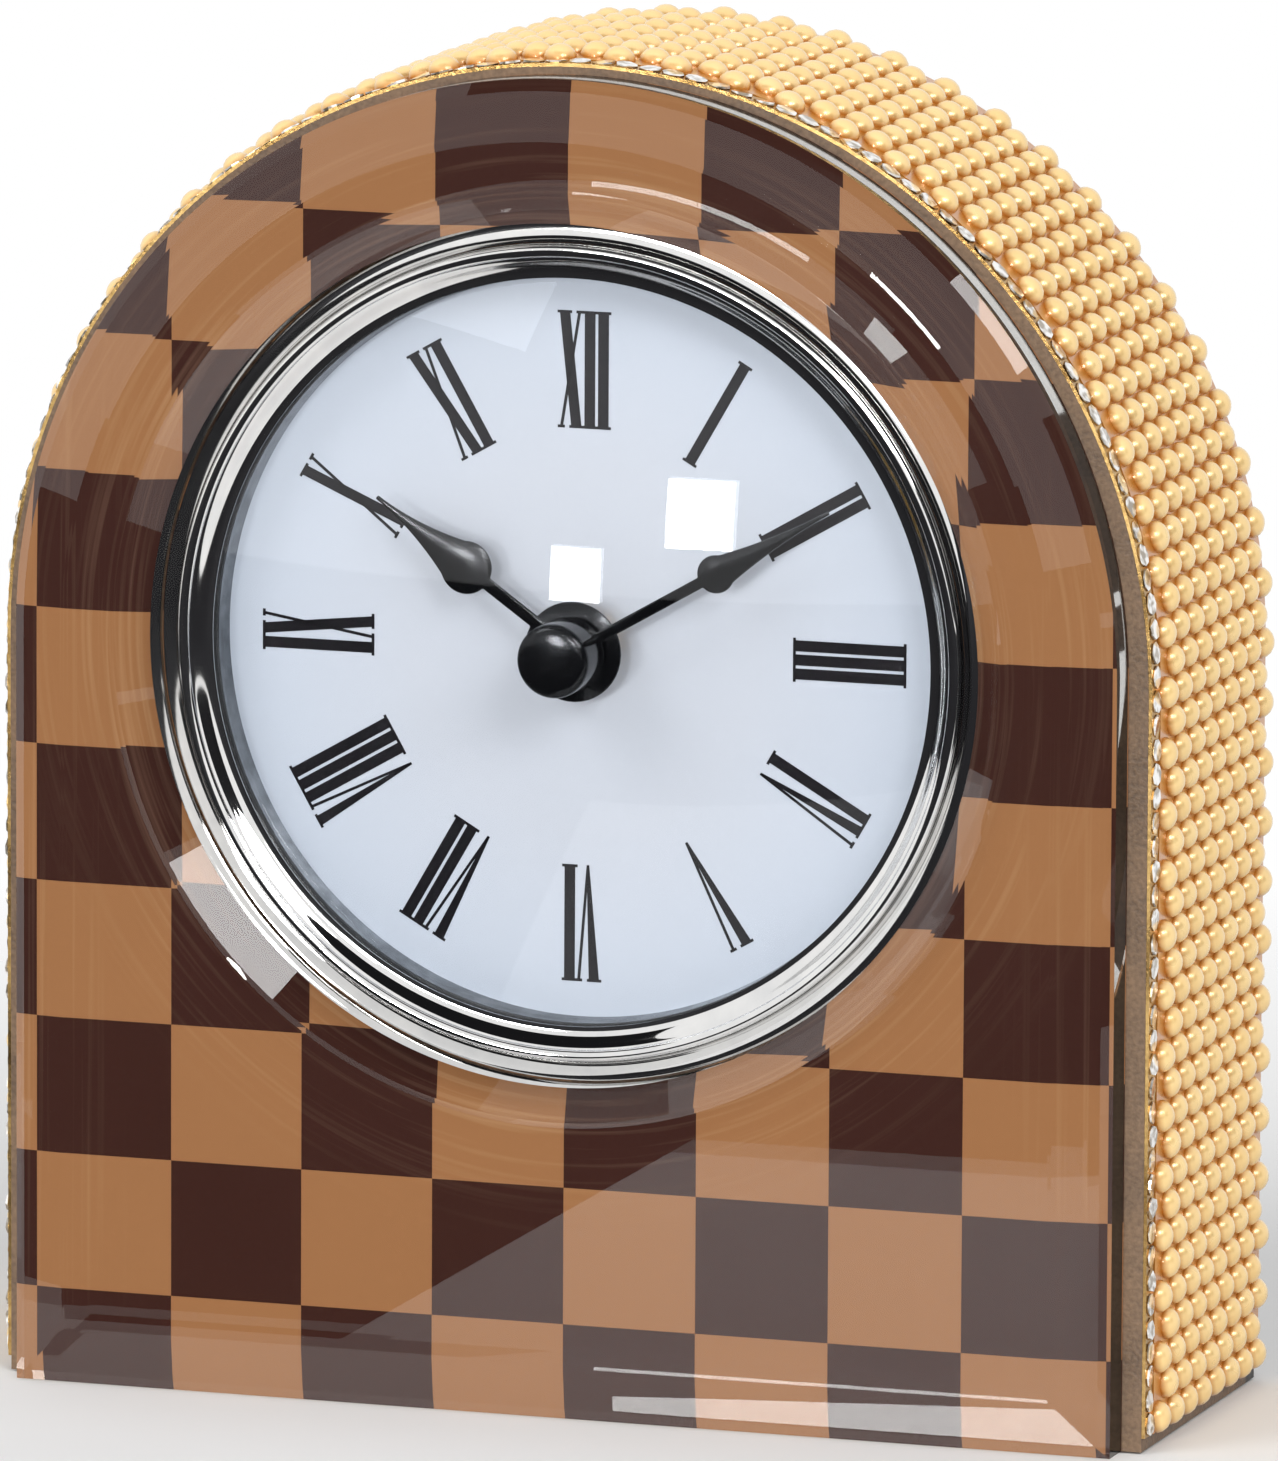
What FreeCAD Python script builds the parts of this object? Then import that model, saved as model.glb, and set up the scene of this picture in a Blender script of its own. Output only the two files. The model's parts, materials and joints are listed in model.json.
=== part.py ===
import FreeCAD, Part
import math
import os

# Arched shelf clock. Lengths are millimetres, angles are degrees.
# +Z is up, the front faces -Y, and the origin lies on the table under the middle of the case.
os.makedirs("parts", exist_ok=True)

# Case, glass front and printed sheet
glass_half_width = 57.3
glass_height = 133.9
glass_thickness = 6.0
print_thickness = 0.2
case_depth = 38.8
case_rim_side = 2.05
case_rim_top = 0.75
axis_below_spring = 0.1

# Bevels of the glass front
bevel_width = 5.6
bevel_depth = 2.3
edge_facet_width = 1.1
edge_facet_depth = 0.8
glass_hole_radius = 43.1
hole_bevel_width = 3.4

# Back of the case
panel_thickness = 3.0
panel_inset = 4.0
panel_gap = 0.15
panel_opening_radius = 38.0
screw_shank_radius = 1.4
screw_head_radius = 2.6
screw_head_height = 1.4
screw_length = 9.0
screw_edge = 11.5

# Pearl rows and crystal trim on the side wall
trim_bottom = 1.4
pearl_sheet = 0.45
pearl_rise = 1.45
pearl_row_pitch = 3.0
pearl_front_gap = 2.6
pearl_back_gap = 0.2
stone_pitch = 2.4
stone_rise = 1.25
stone_foot = 0.35
stone_strip_depth = 2.4
stone_strip_gap = 0.05

# Round insert: cup, bezel, lens and dial
cup_radius = 38.4
cup_wall = 0.5
cup_floor = 0.8
bore_gap = 1.0
bezel_radius = 41.25
bezel_edge_height = 0.7
bezel_crown_inset = 1.05
bezel_crown_width = 0.5
bezel_rise = 2.7
bezel_cove_width = 1.2
bezel_cove_depth = 0.9
bezel_lip_cover = 0.45
bezel_lip_thickness = 0.5
bezel_lip_fall = 0.1
seat_gap = 0.05
lens_rise = 7.6
lens_thickness = 1.0
lens_bands = 2
gasket_thickness = 0.5
gasket_width = 0.65
reveal_height = 2.6
reveal_width = 0.65
dial_thickness = 0.4
grip_offset = 1.0
grip_width = 2.6

# Movement housing behind the cup
battery_end_room = 3.55
housing_corner = 3.0
housing_depth = 13.5
housing_wall = 1.2
plate_thickness = 1.5
post_radius = 2.5
post_reach = 0.4
nut_flats = 6.6
nut_thickness = 1.6
washer_radius = 3.6
washer_thickness = 0.4
fit_gap = 0.05
train_plate_gap = 7.5
train_plate_thickness = 1.0
train_plate_margin = 1.6
pillar_radius = 1.5
pillar_margin = 3.2

# Arbors and hands
arbor_radius = 0.9
tube_wall = 0.65
pivot_radius = 0.45
pivot_depth = 0.8
stud_radius = 0.7
hand_thickness = 0.4
hour_hub_radius = 5.0
hour_hub_thickness = 0.5
hour_hub_gap = 0.4
minute_collar_radius = 3.3
minute_collar_thickness = 0.6
tube_overrun = 0.2
collar_gap = 0.2
cap_radius = 3.7
cap_length = 5.3
cap_round = 0.8
cap_dome = 0.15
cap_grip = 1.7
hour_stem_width = 1.25
hour_bulb_radius = 2.65
hour_bulb_centre = 13.6
hour_tip = 25.0
minute_stem_width = 1.1
minute_bulb_radius = 1.9
minute_bulb_centre = 17.6
minute_tip = 31.0
tip_width = 0.4
hour_angle_at_rest = -55.0
minute_angle_at_rest = 60.0

# Gear train: tooth counts and modules
cannon_teeth = 12
motion_teeth = 36
motion_pinion_teeth = 10
hour_teeth = 40
knob_teeth = 12
centre_teeth = 80
intermediate_pinion_teeth = 8
intermediate_teeth = 48
rotor_teeth = 8
motion_module = 0.5
hour_module = 0.48
centre_module = 0.3
rotor_module = 0.25
motion_direction = 30.0
knob_direction = 60.0
intermediate_direction = 150.0
rotor_direction = 60.0
hour_wheel_gap = 0.3
hour_wheel_thickness = 1.0
motion_wheel_gap = 0.6
motion_wheel_thickness = 0.8
cannon_margin = 0.2
centre_wheel_gap = 1.1
centre_wheel_thickness = 0.8
train_wheel_gap = 1.2
train_wheel_thickness = 0.6

# Stepping motor
magnet_radius = 2.3
magnet_thickness = 1.2
magnet_gap = 0.4
stator_thickness = 0.8
stator_lift = 2.4
stator_margin = 1.15
coil_radius = 2.6
coil_length = 18.0
coil_flange = 0.6
coil_rise = 8.9
coil_offset = 5.5
core_width = 1.6
winding_inset = 0.2
stator_leg = 1.0
boss_radius = 1.3
boss_spread = 12.5
boss_beside_rotor = 3.7
boss_above_rotor = 2.5

# Battery, contacts and circuit
battery_radius = 5.25
battery_length = 43.7
battery_nub_radius = 1.9
battery_nub_length = 0.8
battery_edge_gap = 0.6
bay_gap = 0.65
contact_thickness = 0.3
contact_half_width = 4.0
board_thickness = 1.0
board_left = 23.0
board_right = 8.0
board_bottom = 9.0
board_top = 24.0
crystal_radius = 1.0
crystal_length = 6.0

# Setting knob
knob_radius = 6.0
knob_thickness = 3.0
knob_gap = 0.5
knob_shaft_radius = 1.2
knob_flutes = 20
knob_flute_depth = 0.5
cut_overrun = 1.0

# Shares of each tooth's pitch, and of the swell of the arcs
tooth_root_share = 0.50
tooth_tip_share = 0.16
leaf_root_share = 0.36
leaf_tip_share = 0.16
tip_height_share = 0.90
root_depth_share = 1.20
flute_tip_share = 0.40
pearl_top_share = 0.45
bezel_shoulder_share = 0.25
bezel_fall_share = 0.35
bulb_tail_share = 0.62
tail_width_share = 0.30

# The dial's centre follows the arch, and the housing follows its battery
axis_height = glass_height - glass_half_width - axis_below_spring
housing_half = (battery_length + battery_nub_length) / 2 + battery_end_room + housing_wall

# Stations along the depth, from the glass front towards the back
front_y = -(glass_thickness + print_thickness + case_depth) / 2
glass_back_y = front_y + glass_thickness
case_front_y = glass_back_y + print_thickness
case_back_y = case_front_y + case_depth
lens_edge_y = case_front_y - lens_thickness
lens_apex_y = lens_edge_y - lens_rise
gasket_y = case_front_y
reveal_y = gasket_y + gasket_thickness
dial_y = reveal_y + reveal_height
floor_y = dial_y + dial_thickness
plate_y = floor_y + cup_floor
housing_y = plate_y + plate_thickness
housing_back_y = housing_y + housing_depth
train_plate_y = housing_y + train_plate_gap

# Depth stations of hands, nut and gears
washer_y = dial_y - washer_thickness
nut_y = washer_y - nut_thickness
post_y = nut_y - post_reach
hour_hub_y = post_y - hour_hub_gap - hour_hub_thickness
tube_y = hour_hub_y - tube_overrun
collar_y = tube_y - collar_gap - minute_collar_thickness
minute_y = collar_y - hand_thickness
cap_y = minute_y - cap_length
hour_wheel_y = housing_y + hour_wheel_gap
motion_wheel_y = hour_wheel_y + hour_wheel_thickness + motion_wheel_gap
cannon_y = motion_wheel_y - cannon_margin
cannon_length = motion_wheel_thickness + 2 * cannon_margin
centre_wheel_y = cannon_y + cannon_length + centre_wheel_gap
train_wheel_y = centre_wheel_y + centre_wheel_thickness + train_wheel_gap
stator_y = housing_y + stator_lift
magnet_y = stator_y + (stator_thickness - magnet_thickness) / 2

# Outlines that follow from the sizes above
case_half_width = glass_half_width + case_rim_side
case_height = glass_height + case_rim_top
bore_radius = cup_radius + bore_gap
cup_inner_radius = cup_radius - cup_wall
seat_radius = cup_inner_radius - seat_gap
tube_bore = arbor_radius + fit_gap
tube_radius = tube_bore + tube_wall
post_bore = tube_radius + fit_gap


def at(x, y, z):
    """A point given by its place across, its depth and its height."""
    return FreeCAD.Vector(x, y, z)


def from_axis(across, up):
    """Place in the front view of a point given from the dial's centre."""
    return across, axis_height + up


def polar(distance, angle, centre):
    """Point at a distance and angle (from +X towards +Z) from a centre in the front view."""
    turn = math.radians(angle)
    return centre[0] + distance * math.cos(turn), centre[1] + distance * math.sin(turn)


dial_centre = from_axis(0, 0)
depth_axis = FreeCAD.Vector(0, 1, 0)


def arch_wire(half_width, height, foot, y):
    """Outline with straight sides and a round top, from the foot up to the height."""
    spring = height - half_width
    left_foot = at(-half_width, y, foot)
    right_foot = at(half_width, y, foot)
    right = at(half_width, y, spring)
    left = at(-half_width, y, spring)
    crown = at(0, y, height)
    edges = [
        Part.makeLine(left_foot, right_foot),
        Part.makeLine(right_foot, right),
        Part.Arc(right, crown, left).toShape(),
        Part.makeLine(left, left_foot),
    ]
    return Part.Wire(edges)


def extrude(wire, length):
    """Solid made by pushing a closed outline towards the back."""
    return Part.Face(wire).extrude(depth_axis * length)


def disc(radius, y, length, centre=dial_centre):
    """Round bar along the depth."""
    return Part.makeCylinder(radius, length, at(centre[0], y, centre[1]), depth_axis)


def ring(inner, outer, y, length, centre=dial_centre):
    """Flat ring or tube along the depth."""
    return disc(outer, y, length, centre).cut(disc(inner, y, length, centre))


def through(radius, y, length, centre=dial_centre):
    """Cutter for a hole that runs past both of its faces."""
    return disc(radius, y - cut_overrun, length + 2 * cut_overrun, centre)


def box(left, right, y, length, bottom, top):
    """Block between two sides, two heights and two depths."""
    return Part.makeBox(right - left, length, top - bottom, at(left, y, bottom))


def turned(points, centre=dial_centre):
    """Lathe form from pairs of radius and depth."""
    corners = [at(centre[0] + p[0], p[1], centre[1]) for p in points]
    face = Part.Face(Part.makePolygon(corners + corners[:1]))
    return face.revolve(at(centre[0], 0, centre[1]), depth_axis, 360)


def polygon(places, y):
    """Closed outline through places in the front view."""
    corners = [at(p[0], y, p[1]) for p in places]
    return Part.makePolygon(corners + corners[:1])


def save(name, *solids):
    """Write the solids of one sub-part."""
    shape = solids[0] if len(solids) == 1 else Part.makeCompound(list(solids))
    shape.exportStep(os.path.join("parts", name + ".step"))


# Glass front: a thick arched plate with a bevelled edge and a bevelled round hole
def glass_front():
    main_depth = bevel_depth - edge_facet_depth
    sections = [
        (bevel_width, front_y),
        (edge_facet_width, front_y + main_depth),
        (0, front_y + bevel_depth),
        (0, glass_back_y),
    ]
    wires = [arch_wire(glass_half_width - s[0], glass_height - s[0], s[0], s[1]) for s in sections]
    plate = Part.makeLoft(wires, True, True)
    hole = turned([
        (0, front_y - cut_overrun),
        (glass_hole_radius + hole_bevel_width, front_y - cut_overrun),
        (glass_hole_radius + hole_bevel_width, front_y),
        (glass_hole_radius, front_y + bevel_depth),
        (glass_hole_radius, glass_back_y + cut_overrun),
        (0, glass_back_y + cut_overrun),
    ])
    return plate.cut(hole)


# Printed sheet between the glass and the case
def checker_print():
    sheet = extrude(arch_wire(glass_half_width, glass_height, 0, glass_back_y), print_thickness)
    return sheet.cut(through(glass_hole_radius, glass_back_y, print_thickness))


panel_half_width = case_half_width - panel_inset
panel_height = case_height - panel_inset
screw_places = [
    (-panel_half_width + screw_edge, panel_inset + screw_edge),
    (panel_half_width - screw_edge, panel_inset + screw_edge),
    polar(panel_half_width - screw_edge + panel_inset, 45, (0, case_height - case_half_width)),
    polar(panel_half_width - screw_edge + panel_inset, 135, (0, case_height - case_half_width)),
]
panel_y = case_back_y - panel_thickness


# Case: an arched block, bored through for the insert and rebated for the back panel
def case_body():
    block = extrude(arch_wire(case_half_width, case_height, 0, case_front_y), case_depth)
    rebate = extrude(
        arch_wire(panel_half_width, panel_height, panel_inset, panel_y), panel_thickness + cut_overrun)
    block = block.cut(rebate).cut(through(bore_radius, case_front_y, case_depth))
    for place in screw_places:
        block = block.cut(disc(screw_shank_radius, panel_y + panel_thickness - screw_length,
                               screw_length, place))
    return block


def back_panel():
    outline = arch_wire(panel_half_width - panel_gap, panel_height - panel_gap,
                        panel_inset + panel_gap, panel_y)
    panel = extrude(outline, panel_thickness)
    panel = panel.cut(through(panel_opening_radius, panel_y, panel_thickness))
    for place in screw_places:
        panel = panel.cut(through(screw_shank_radius, panel_y, panel_thickness, place))
        panel = panel.cut(disc(screw_head_radius, case_back_y - screw_head_height,
                               screw_head_height + cut_overrun, place))
    return panel


def back_screw(place):
    shank = disc(screw_shank_radius, case_back_y - screw_length, screw_length, place)
    return shank.fuse(disc(screw_head_radius, case_back_y - screw_head_height, screw_head_height, place))


# Rows that follow the side wall of the case: up one side, over the arch and down the other
def wall_place(distance, offset):
    spring = case_height - case_half_width
    radius = case_half_width + offset
    rise = spring - trim_bottom
    sweep = math.pi * case_half_width
    if distance < rise:
        return -radius, trim_bottom + distance
    if distance < rise + sweep:
        turn = math.pi - (distance - rise) / case_half_width
        return radius * math.cos(turn), spring + radius * math.sin(turn)
    return radius, spring - (distance - rise - sweep)


wall_length = 2 * (case_height - case_half_width - trim_bottom) + math.pi * case_half_width
pearl_rows = round(wall_length / pearl_row_pitch)
stone_count = round(wall_length / stone_pitch)


def wall_band(outer_places, y, length):
    """Band on the case wall whose outer side runs through the given places."""
    spring = case_height - case_half_width
    left_foot = at(-case_half_width, y, trim_bottom)
    right_foot = at(case_half_width, y, trim_bottom)
    left = at(-case_half_width, y, spring)
    right = at(case_half_width, y, spring)
    corners = [left_foot] + [at(p[0], y, p[1]) for p in outer_places] + [right_foot]
    edges = [Part.makeLine(corners[i], corners[i + 1]) for i in range(len(corners) - 1)]
    edges += [
        Part.makeLine(right_foot, right),
        Part.Arc(right, at(0, y, case_height), left).toShape(),
        Part.makeLine(left, left_foot),
    ]
    return extrude(Part.Wire(edges), length)


# Pearl band: a thin sheet that carries the rounded rows of half pearls
def pearl_wrap():
    y = case_front_y + pearl_front_gap
    pitch = wall_length / pearl_rows
    margin = (1 - pearl_top_share) / 2
    corners = []
    for i in range(pearl_rows):
        corners.append(wall_place(i * pitch, pearl_sheet))
        corners.append(wall_place((i + margin) * pitch, pearl_sheet + pearl_rise))
        corners.append(wall_place((i + 1 - margin) * pitch, pearl_sheet + pearl_rise))
    corners.append(wall_place(wall_length, pearl_sheet))
    return wall_band(corners, y, case_back_y - pearl_back_gap - y)


# Crystal trim: a narrow strip of set stones in front of the pearls
def rhinestone_trim():
    y = case_front_y + stone_strip_gap
    pitch = wall_length / stone_count
    corners = []
    for i in range(stone_count):
        corners.append(wall_place(i * pitch, stone_foot))
        corners.append(wall_place((i + 0.5) * pitch, stone_rise))
    corners.append(wall_place(wall_length, stone_foot))
    return wall_band(corners, y, stone_strip_depth)


# Bezel: a turned metal rim that clamps the lens and rests on the case front
def bezel_ring():
    crown = bezel_radius - bezel_crown_inset
    cove = crown - bezel_crown_width
    lip = cove - bezel_cove_width
    crown_y = case_front_y - bezel_rise
    lip_y = crown_y + bezel_cove_depth
    lip_radius = seat_radius - bezel_lip_cover
    lip_back_y = lip_y + bezel_lip_fall + bezel_lip_thickness
    return turned([
        (cup_inner_radius, case_front_y),
        (bezel_radius, case_front_y),
        (bezel_radius, case_front_y - bezel_edge_height),
        (bezel_radius - bezel_shoulder_share * bezel_crown_inset,
         crown_y + bezel_fall_share * (bezel_rise - bezel_edge_height)),
        (crown, crown_y),
        (cove, crown_y),
        (lip, lip_y),
        (lip_radius, lip_y + bezel_lip_fall),
        (lip_radius, lip_back_y),
        (cup_inner_radius, lip_back_y),
    ])


def dome_fall(radius):
    """How far the lens has fallen back from its apex at a radius."""
    sphere = (seat_radius * seat_radius + lens_rise * lens_rise) / (2 * lens_rise)
    return sphere - math.sqrt(sphere * sphere - radius * radius)


# Lens: a domed glass of even thickness
def lens():
    radii = [seat_radius * math.sqrt(i / lens_bands) for i in range(lens_bands + 1)]
    outer = [(r, lens_apex_y + dome_fall(r)) for r in radii]
    inner = [(p[0], p[1] + lens_thickness) for p in outer]
    return turned(outer + inner[::-1])


def reveal_ring():
    return ring(seat_radius - reveal_width, seat_radius, reveal_y, reveal_height)


def insert_cup():
    length = plate_y - case_front_y
    cup = disc(cup_radius, case_front_y, length)
    cup = cup.cut(disc(cup_inner_radius, case_front_y, length - cup_floor))
    return cup.cut(through(post_radius + fit_gap, floor_y, cup_floor))


# Grip ring: a rubber band round the cup that holds the insert in its bore
def grip_ring():
    return ring(cup_radius, bore_radius, case_front_y + grip_offset, grip_width)


# Gears
def gear_places(teeth, module, centre, phase, root_share, tip_share):
    """Corners of a gear's outline: two at the root and two at the tip of each tooth."""
    pitch_radius = teeth * module / 2
    root = pitch_radius - root_depth_share * module
    tip = pitch_radius + tip_height_share * module
    step = 360 / teeth
    places = []
    for i in range(teeth):
        middle = phase + i * step
        places.append(polar(root, middle - step * root_share / 2, centre))
        places.append(polar(tip, middle - step * tip_share / 2, centre))
        places.append(polar(tip, middle + step * tip_share / 2, centre))
        places.append(polar(root, middle + step * root_share / 2, centre))
    return places


def wheel(teeth, module, y, thickness, centre, phase):
    places = gear_places(teeth, module, centre, phase, tooth_root_share, tooth_tip_share)
    return extrude(polygon(places, y), thickness)


def pinion(teeth, module, y, thickness, centre, phase):
    places = gear_places(teeth, module, centre, phase, leaf_root_share, leaf_tip_share)
    return extrude(polygon(places, y), thickness)


def meshed_phase(direction, teeth, phase, other_teeth):
    """Phase of a gear whose gap receives the tooth of the gear it meshes with."""
    step = 360 / teeth
    other_step = 360 / other_teeth
    lead = ((direction - phase) / step) % 1
    return direction + 180 - other_step * (0.5 - lead)


motion_distance = (cannon_teeth + motion_teeth) * motion_module / 2
knob_distance = (knob_teeth + motion_teeth) * motion_module / 2
intermediate_distance = (centre_teeth + intermediate_pinion_teeth) * centre_module / 2
rotor_distance = (intermediate_teeth + rotor_teeth) * rotor_module / 2
motion_centre = polar(motion_distance, motion_direction, dial_centre)
knob_centre = polar(knob_distance, knob_direction, motion_centre)
intermediate_centre = polar(intermediate_distance, intermediate_direction, dial_centre)
rotor_centre = polar(rotor_distance, rotor_direction, intermediate_centre)
cannon_phase = motion_direction
motion_phase = meshed_phase(motion_direction, cannon_teeth, cannon_phase, motion_teeth)
knob_phase = meshed_phase(knob_direction, motion_teeth, motion_phase, knob_teeth)
hour_phase = motion_direction
motion_pinion_phase = meshed_phase(motion_direction, hour_teeth, hour_phase, motion_pinion_teeth)
centre_phase = intermediate_direction
intermediate_phase = meshed_phase(
    intermediate_direction, centre_teeth, centre_phase, intermediate_pinion_teeth)
intermediate_wheel_phase = rotor_direction
rotor_phase = meshed_phase(
    rotor_direction, intermediate_teeth, intermediate_wheel_phase, rotor_teeth)


# Centre wheel: the minute arbor with the cannon pinion and the driven wheel
def centre_wheel():
    arbor_y = cap_y + cap_grip
    arbor = disc(arbor_radius, arbor_y, train_plate_y - cannon_margin - arbor_y)
    pivot_y = train_plate_y - cannon_margin
    pivot = disc(pivot_radius, pivot_y, cannon_margin + pivot_depth)
    cannon = pinion(cannon_teeth, motion_module, cannon_y, cannon_length, dial_centre, cannon_phase)
    driven = wheel(centre_teeth, centre_module, centre_wheel_y, centre_wheel_thickness,
                   dial_centre, centre_phase)
    return arbor.fuse([pivot, cannon, driven])


def hour_wheel():
    tube = disc(tube_radius, tube_y, hour_wheel_y + hour_wheel_thickness - tube_y)
    gear = wheel(hour_teeth, hour_module, hour_wheel_y, hour_wheel_thickness, dial_centre, hour_phase)
    length = hour_wheel_y + hour_wheel_thickness - tube_y
    return tube.fuse(gear).cut(through(tube_bore, tube_y, length))


def motion_wheel():
    gear = wheel(motion_teeth, motion_module, motion_wheel_y, motion_wheel_thickness,
                 motion_centre, motion_phase)
    leaves = pinion(motion_pinion_teeth, hour_module, hour_wheel_y,
                    motion_wheel_y - hour_wheel_y, motion_centre, motion_pinion_phase)
    length = motion_wheel_y + motion_wheel_thickness - hour_wheel_y
    return gear.fuse(leaves).cut(
        through(stud_radius + fit_gap, hour_wheel_y, length, motion_centre))


def train_arbor(centre, radius):
    """Arbor with a pivot at each end, between the front plate and the train plate."""
    start = housing_y + cannon_margin
    end = train_plate_y - cannon_margin
    body = disc(radius, start, end - start, centre)
    pivots = disc(pivot_radius, housing_y - pivot_depth,
                  train_plate_y + pivot_depth - (housing_y - pivot_depth), centre)
    return body.fuse(pivots)


def intermediate_wheel():
    arbor = train_arbor(intermediate_centre, stud_radius)
    leaves = pinion(intermediate_pinion_teeth, centre_module, centre_wheel_y - cannon_margin,
                    centre_wheel_thickness + 2 * cannon_margin, intermediate_centre,
                    intermediate_phase)
    gear = wheel(intermediate_teeth, rotor_module, train_wheel_y, train_wheel_thickness,
                 intermediate_centre, intermediate_wheel_phase)
    return arbor.fuse([leaves, gear])


def rotor():
    arbor = train_arbor(rotor_centre, stud_radius)
    magnet = disc(magnet_radius, magnet_y, magnet_thickness, rotor_centre)
    leaves = pinion(rotor_teeth, rotor_module, train_wheel_y - cannon_margin,
                    train_wheel_thickness + 2 * cannon_margin, rotor_centre, rotor_phase)
    return arbor.fuse([magnet, leaves])


# Movement plates and housing
pillar_reach = housing_half - housing_wall - pillar_margin
pillar_places = [
    from_axis(-pillar_reach, -battery_radius - pillar_margin),
    from_axis(pillar_reach, -battery_radius - pillar_margin),
    from_axis(train_plate_margin, pillar_reach),
]
boss_places = [
    (rotor_centre[0] - boss_spread, rotor_centre[1]),
    (rotor_centre[0] + boss_beside_rotor, rotor_centre[1] + boss_above_rotor),
]


def rounded_square(half, corner, y, length):
    block = box(-half, half, y, length, axis_height - half, axis_height + half)
    upright = [e for e in block.Edges if abs(e.tangentAt(e.FirstParameter).y) > 0.5]
    return block.makeFillet(corner, upright)


def movement_plate():
    plate = rounded_square(housing_half, housing_corner, plate_y, plate_thickness)
    post = disc(post_radius, post_y, plate_y - post_y)
    stud_end = motion_wheel_y + motion_wheel_thickness + cannon_margin
    stud = disc(stud_radius, housing_y, stud_end - housing_y, motion_centre)
    raised = [post, stud]
    for place in pillar_places:
        raised.append(disc(pillar_radius, housing_y, train_plate_gap, place))
    for place in boss_places:
        raised.append(disc(boss_radius, housing_y, stator_lift, place))
    plate = plate.fuse(raised)
    plate = plate.cut(through(post_bore, post_y, housing_y - post_y))
    for centre in (intermediate_centre, rotor_centre, knob_centre):
        hole = disc(pivot_radius + fit_gap, housing_y - pivot_depth - fit_gap,
                    pivot_depth + fit_gap + cut_overrun, centre)
        plate = plate.cut(hole)
    return plate


bay_half = housing_half - housing_wall
bay_floor = -housing_half + housing_wall
bay_ceiling = bay_floor + 2 * (battery_radius + battery_edge_gap)
chamber_floor = bay_ceiling + housing_wall
battery_height = bay_floor + battery_radius + battery_edge_gap
battery_y = housing_back_y - battery_radius - bay_gap


def movement_cover():
    cover = rounded_square(housing_half, housing_corner, housing_y, housing_depth)
    chamber = box(-bay_half, bay_half, housing_y, housing_depth - housing_wall,
                  axis_height + chamber_floor, axis_height + bay_half)
    bay = box(-bay_half, bay_half, housing_y + housing_wall, housing_depth,
              axis_height + bay_floor, axis_height + bay_ceiling)
    cover = cover.cut(chamber).cut(bay)
    return cover.cut(through(knob_shaft_radius + fit_gap, housing_back_y - housing_wall,
                             housing_wall, knob_centre))


def train_plate():
    reach = bay_half - train_plate_margin
    plate = box(-reach, reach, train_plate_y, train_plate_thickness,
                axis_height + chamber_floor + train_plate_margin, axis_height + reach)
    for centre in (dial_centre, intermediate_centre, rotor_centre):
        plate = plate.cut(through(pivot_radius + fit_gap, train_plate_y, train_plate_thickness, centre))
    return plate.cut(through(knob_shaft_radius + fit_gap, train_plate_y,
                             train_plate_thickness, knob_centre))


# Stepping motor: a flat stator with a bored eye, and a coil on its core
coil_height = rotor_centre[1] + coil_rise
coil_left = rotor_centre[0] - coil_offset - coil_length / 2
coil_right = coil_left + coil_length


def core_bar(left, right):
    return box(left, right, stator_y, stator_thickness,
               coil_height - core_width / 2, coil_height + core_width / 2)


def stator():
    reach = magnet_radius + magnet_gap + stator_margin
    left = coil_left - stator_leg
    right = coil_right + stator_leg
    yoke = box(left, right, stator_y, stator_thickness,
               rotor_centre[1] - reach, rotor_centre[1] + reach)
    left_leg = box(left, coil_left, stator_y, stator_thickness,
                   rotor_centre[1], coil_height + core_width / 2)
    right_leg = box(coil_right, right, stator_y, stator_thickness,
                    rotor_centre[1], coil_height + core_width / 2)
    body = yoke.fuse([left_leg, right_leg, core_bar(left, right)])
    return body.cut(through(magnet_radius + magnet_gap, stator_y, stator_thickness, rotor_centre))


def along_coil(radius, left, length):
    """Round bar that lies across the movement on the coil's axis."""
    middle_y = stator_y + stator_thickness / 2
    return Part.makeCylinder(radius, length, at(left, middle_y, coil_height), at(1, 0, 0))


def coil_bobbin():
    sleeve = core_width / 2 + winding_inset
    body = along_coil(sleeve, coil_left, coil_length)
    flanges = [
        along_coil(coil_radius, coil_left, coil_flange),
        along_coil(coil_radius, coil_right - coil_flange, coil_flange),
    ]
    return body.fuse(flanges).cut(core_bar(coil_left - cut_overrun, coil_right + cut_overrun))


def coil_winding():
    length = coil_length - 2 * coil_flange
    sleeve = core_width / 2 + winding_inset
    wound = along_coil(coil_radius - winding_inset, coil_left + coil_flange, length)
    return wound.cut(along_coil(sleeve, coil_left + coil_flange, length))


# Circuit board and crystal behind the train plate
def circuit_board():
    y = train_plate_y + train_plate_thickness
    return box(-board_left, board_right, y, board_thickness,
               axis_height - board_bottom, axis_height + board_top - pillar_margin)


def crystal():
    y = train_plate_y + train_plate_thickness + board_thickness + crystal_radius
    start = at(-board_left + crystal_length / 2, y, axis_height + pillar_margin)
    return Part.makeCylinder(crystal_radius, crystal_length, start, at(1, 0, 0))


# Battery lying across the bottom of the movement, between its two contacts
battery_total = battery_length + battery_nub_length
battery_left = -battery_total / 2


def lying(radius, left, length):
    start = at(left, battery_y, axis_height + battery_height)
    return Part.makeCylinder(radius, length, start, at(1, 0, 0))


def battery():
    cell = lying(battery_radius, battery_left, battery_length)
    return cell.fuse(lying(battery_nub_radius, battery_left + battery_length, battery_nub_length))


def contact(side):
    """Flat contact against the bay's end wall, with a raised cone that meets the battery."""
    wall_x = side * bay_half
    inner_x = side * (bay_half - contact_thickness)
    middle = axis_height + battery_height
    plate = box(min(wall_x, inner_x), max(wall_x, inner_x), battery_y - contact_half_width,
                2 * contact_half_width, middle - contact_half_width, middle + contact_half_width)
    end_x = side * battery_total / 2
    cone = Part.makeCone(battery_nub_radius, battery_nub_radius / 2, abs(inner_x - end_x),
                         at(inner_x, battery_y, middle), at(-side, 0, 0))
    return plate.fuse(cone)


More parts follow.
